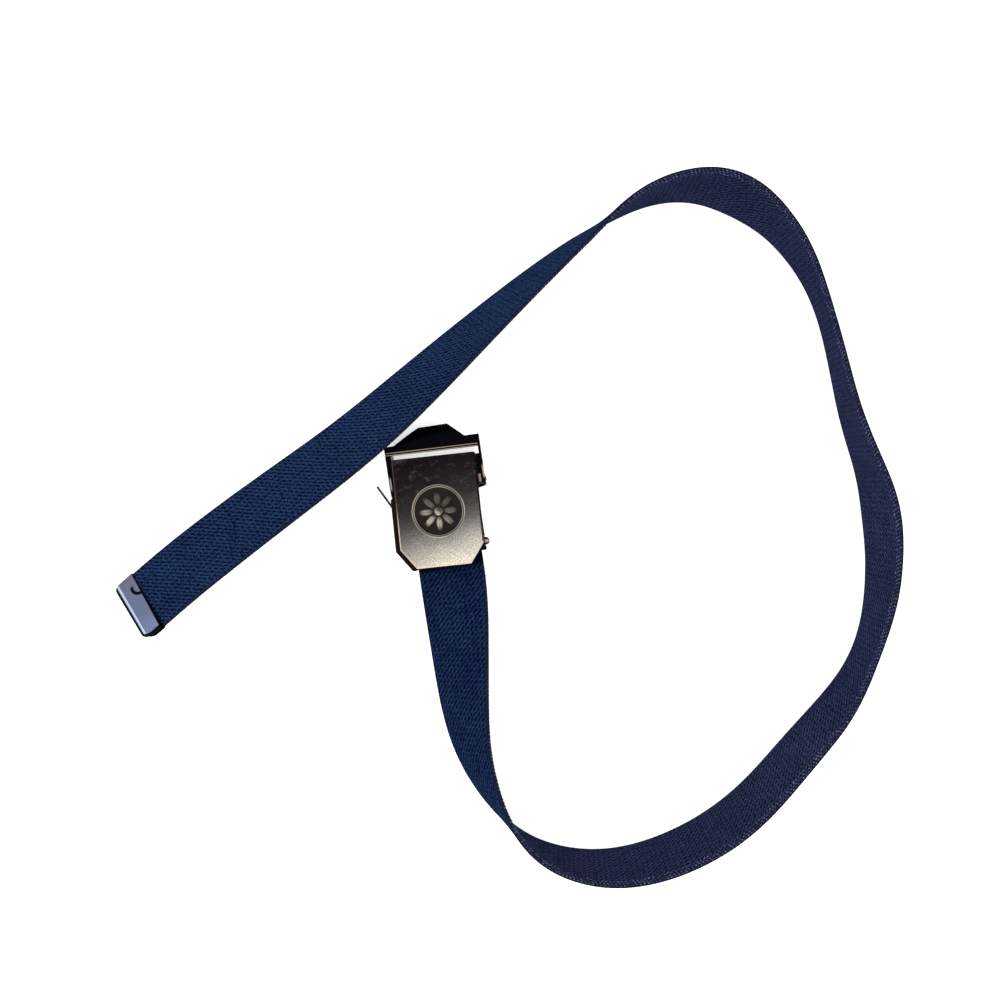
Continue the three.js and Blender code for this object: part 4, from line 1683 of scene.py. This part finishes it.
    def flange(self) -> None:
        """Builds the dark flange along the cover's left side and its left chamfer."""
        side, tail, inner = self.cover_width / 2, -self.cover_tail, 0.35 * MM
        length = math.hypot(self.chamfer_along, self.chamfer_across)
        nx, ny = -self.chamfer_across / length, self.chamfer_along / length
        mitre_x, mitre_y = nx / (1 + ny), 1.0
        turn = (tail + self.chamfer_along, side)
        foot = (tail, side - self.chamfer_across)
        reach = self.flange_reach
        outline = [
            (foot[0] + 0.4 * MM, foot[1] - inner), (turn[0] + 0.4 * MM, side - inner),
            (-self.flange_end, side - inner), (-self.flange_end, side + 0.55 * reach),
            (-self.flange_end - 1.4 * MM, side + reach), (turn[0] + mitre_x * reach, side + mitre_y * reach),
            (foot[0] + nx * reach + 0.8 * MM, foot[1] + ny * reach + 0.6 * MM),
            (foot[0] + 0.8 * nx * reach, foot[1] + 0.6 * ny * reach),
            (tail - 0.5 * MM, foot[1] - 0.5 * MM), (tail - 0.4 * MM, -foot[1]), (tail + 0.4 * MM, -foot[1]),
        ]
        bm = outline_solid(outline, self.cover_top - self.cover_rim, self.flange_top)
        bmesh.ops.transform(bm, matrix=self.cover_axes, verts=bm.verts)
        bevelled(self.placed(bm, "cover_flange", self.rust, Body.COVER), 0.5 * MM, 4)

    def ear_fittings(self) -> None:
        """Builds the dark pads inside the ears and the head beside the hinge pin, with a painted highlight on
        its top.
        """
        inner_face = self.frame_width / 2 - self.ear_wall
        foot = self.base_start + self.base_length - 4 * MM
        pads = bmesh.new()
        for side, top in ((-1, self.bar_start - 5 * MM), (1, self.bar_start + 0.2 * MM)):
            corners = [
                (foot, self.beside_cover(foot, side)), (top, self.beside_cover(top, side)),
                (top, side * (inner_face + 0.1 * MM)), (foot, side * (inner_face + 0.1 * MM)),
            ]
            merge_into(pads, outline_solid(corners, 1.5 * MM, self.ear_height - 0.1 * MM))
        bevelled(self.placed(pads, "ear_pads", self.dark, Body.BELT), 0.08 * MM, 2)
        near, far = inner_face - self.head_gap - self.head_width, inner_face - self.head_gap
        low, high = self.hinge_along - self.head_below, self.hinge_along + self.head_above
        corners = [(low, -far), (high, -far), (high, -near), (low, -near)]
        head = outline_solid(corners, 4 * MM, self.ear_height)
        # Painted highlight on the head's top, inside its dull border
        tone = head.verts.layers.float.new("tone")
        top = [face for face in head.faces if all(v.co.z > self.ear_height - 0.01 * MM for v in face.verts)]
        bmesh.ops.inset_region(head, faces=top, thickness=self.head_bevel)
        for face in top:
            for vert in face.verts:
                vert[tone] = 1.0
        self.placed(head, "pin_head", self.rust, Body.BELT, smooth=False)

    def beside_cover(self, along: float, side: int) -> float:
        """Place just outside the cover's side.

        Args:
            along: Place along the buckle.
            side: 1 for the left side, -1 for the right one.

        Returns:
            Place across the buckle.
        """
        edge = self.cover_axes @ Vector((along - self.hinge_along, side * self.cover_width / 2, 0))
        return edge.y + side * self.side_clearance

    def lugs(self) -> None:
        """Builds the two lugs under the cover that ride on the pin."""
        bm = bmesh.new()
        radius, top, steps = self.lug_radius, self.cover_top - MM, 12
        turns = [math.pi * (1 + k / steps) for k in range(steps + 1)]
        profile = [(radius * math.cos(a), self.hinge_height + radius * math.sin(a)) for a in turns]
        profile += [(radius, top), (-radius, top)]
        for side in (-1, 1):
            lug = outline_solid(profile, -self.lug_wall / 2, self.lug_wall / 2)
            place = Matrix.Translation((0, side * (self.cover_width / 2 - self.lug_inset), 0))
            bmesh.ops.transform(lug, matrix=self.cover_axes @ place @ UPRIGHT, verts=lug.verts)
            merge_into(bm, lug)
        bevelled(self.placed(bm, "cover_lugs", self.dark, Body.COVER), 0.2 * MM, 2)

    def medallion(self) -> None:
        """Builds the sunken medallion: a raised rim and a rosette of eight petals in a dish."""
        outer, rim, rise, sink = self.medallion_radius, 1.6 * MM, 0.35 * MM, 0.5 * MM
        around, dish, inner = 288, 36, outer - rim
        # Rings: radius, height and tone; the tone is dark patina in the dish and painted highlight lines
        # along the rim's two slopes
        shape = [
            (outer, -1.0 * MM, 0.0), (outer, -0.05 * MM, 0.35), (outer - 0.12 * rim, 0.55 * rise, 1.0),
            (outer - 0.3 * rim, 0.9 * rise, 0.7), (outer - 0.5 * rim, rise, 0.3),
            (outer - 0.7 * rim, 0.9 * rise, 0.45), (outer - 0.88 * rim, 0.5 * rise, 1.0),
            (inner, -0.2 * MM, 0.2), (inner - 0.15 * MM, -sink * 0.9, 0.0), (inner - 0.35 * MM, -sink, 0.0),
        ]
        shape += [((inner - 0.35 * MM) * (1 - k / dish) + 0.05 * MM, None, None) for k in range(1, dish + 1)]

        def ring(radius: float, level: float | None, tone: float | None) -> Callable[[int], Corner]:
            """A ring of the rim, or of the dish where no level is given."""

            def place(n: int) -> Corner:
                """The ring's nth point."""
                turn = 2 * math.pi * n / around
                raised = self.petal(radius, turn) if level is None else 0.0
                height = -sink + raised if level is None else level
                x, y = radius * math.cos(turn) - self.medallion_along, radius * math.sin(turn)
                # Painted light: the petals' crests are brighter on one side of the medallion than the other
                lit = 0.62 + 0.30 * math.cos(turn - math.radians(150))
                shown = lit * smoothstep(raised, 0.05 * MM, 0.5 * MM) if tone is None else tone
                return x, y, self.cover_top + height, shown

            return place

        bm = ring_grid(around, [ring(*row) for row in shape], close=True)
        bmesh.ops.transform(bm, matrix=self.cover_axes, verts=bm.verts)
        self.placed(bm, "cover_medallion", AntiqueFinish().material(), Body.COVER)

    def petal(self, radius: float, turn: float) -> float:
        """Relief of the rosette.

        Args:
            radius: Distance from the medallion's middle.
            turn: Angle round it.

        Returns:
            Height above the dish.
        """
        length, width = self.petal_length, 0.46 * self.petal_length
        best = 0.0
        for k in range(self.petals):
            angle = turn - 2 * math.pi * k / self.petals
            x, y = radius * math.cos(angle) - self.petal_middle, radius * math.sin(angle)
            inside = 1 - (2 * x / length) ** 2 - (2 * y / width) ** 2
            if inside > 0:
                groove = 0.12 * MM * math.exp(-((y / (0.25 * MM)) ** 2))
                best = max(best, 0.5 * MM * math.sqrt(inside) - groove)
        boss = 1 - (radius / self.boss_radius) ** 2
        return max(best, 0.6 * MM * math.sqrt(boss) if boss > 0 else 0.0)


@dataclass
class Studio:
    """Pale floor, soft lights and the camera.

    Args:
        lens: Focal length in millimetres on a 36 mm sensor.
        eye: The camera's place.
        tilt: Its small turns about its own axes in degrees.
    """

    lens: float = 27.45
    eye: Point = (18.6 * MM, 8.8 * MM, 376.4 * MM)
    tilt: tuple[float, float] = (-0.53, -1.96)

    def build(self) -> None:
        """Builds the floor, lights, world and camera."""
        self.floor()
        self.world()
        self.soft_light("front_softbox", (-0.10, -0.42, 0.42), 0.30, 0.9)
        self.soft_light("left_softbox", (-0.50, 0.15, 0.50), 0.45, 1.1)
        self.soft_light("right_softbox", (0.55, 0.10, 0.55), 0.45, 1.1)
        bpy.context.scene.view_settings.view_transform = "Standard"
        self.camera()

    def floor(self) -> None:
        """Builds the floor just under the belt."""
        bm = bmesh.new()
        bmesh.ops.create_grid(bm, x_segments=4, y_segments=4, size=3.0)
        for vert in bm.verts:
            vert.co.z = -0.02 * MM
        floor = as_object(bm, "floor", FloorFinish().material())

    def world(self) -> None:
        """Sets a plain pale surrounding."""
        world = bpy.data.worlds.new("studio")
        bpy.context.scene.world = world
        world.use_nodes = True
        sky = world.node_tree.nodes["Background"]
        sky.inputs[0].default_value = (0.98, 0.99, 1.0, 1.0)
        sky.inputs[1].default_value = 0.98

    def soft_light(self, name: str, place: Point, size: float, power: float) -> None:
        """Adds one square soft light aimed at the belt.

        Args:
            name: The light's name.
            place: Where it stands.
            size: Its side.
            power: Its power in watts.
        """
        light = bpy.data.lights.new(name, "AREA")
        light.shape, light.size, light.energy = "SQUARE", size, power
        lamp = bpy.data.objects.new(name, light)
        lamp.location = place
        lamp.rotation_euler = (-Vector(place)).to_track_quat("-Z", "Y").to_euler()
        bpy.context.scene.collection.objects.link(lamp)

    def camera(self) -> None:
        """Adds the camera at the photograph's place and angle."""
        data = bpy.data.cameras.new("camera")
        data.lens, data.sensor_width, data.clip_start = self.lens, 36.0, 0.01
        camera = bpy.data.objects.new("camera", data)
        nod, lean = (math.radians(angle) for angle in self.tilt)
        turn = (Matrix.Rotation(nod, 3, "X") @ Matrix.Rotation(lean, 3, "Y")).transposed()
        camera.matrix_world = Matrix.Translation(self.eye) @ turn.to_4x4()
        bpy.context.scene.collection.objects.link(camera)
        bpy.context.scene.camera = camera


def main() -> None:
    """Builds the belt's pieces in order, then the studio."""
    logging.basicConfig(level=logging.INFO)
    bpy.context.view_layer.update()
    strip = Strip()
    Webbing(strip, WovenFinish(), ThreadFinish()).build()
    TipClip(strip).build()
    Buckle(strip).build()
    Studio().build()


if __name__ == "__main__":
    main()
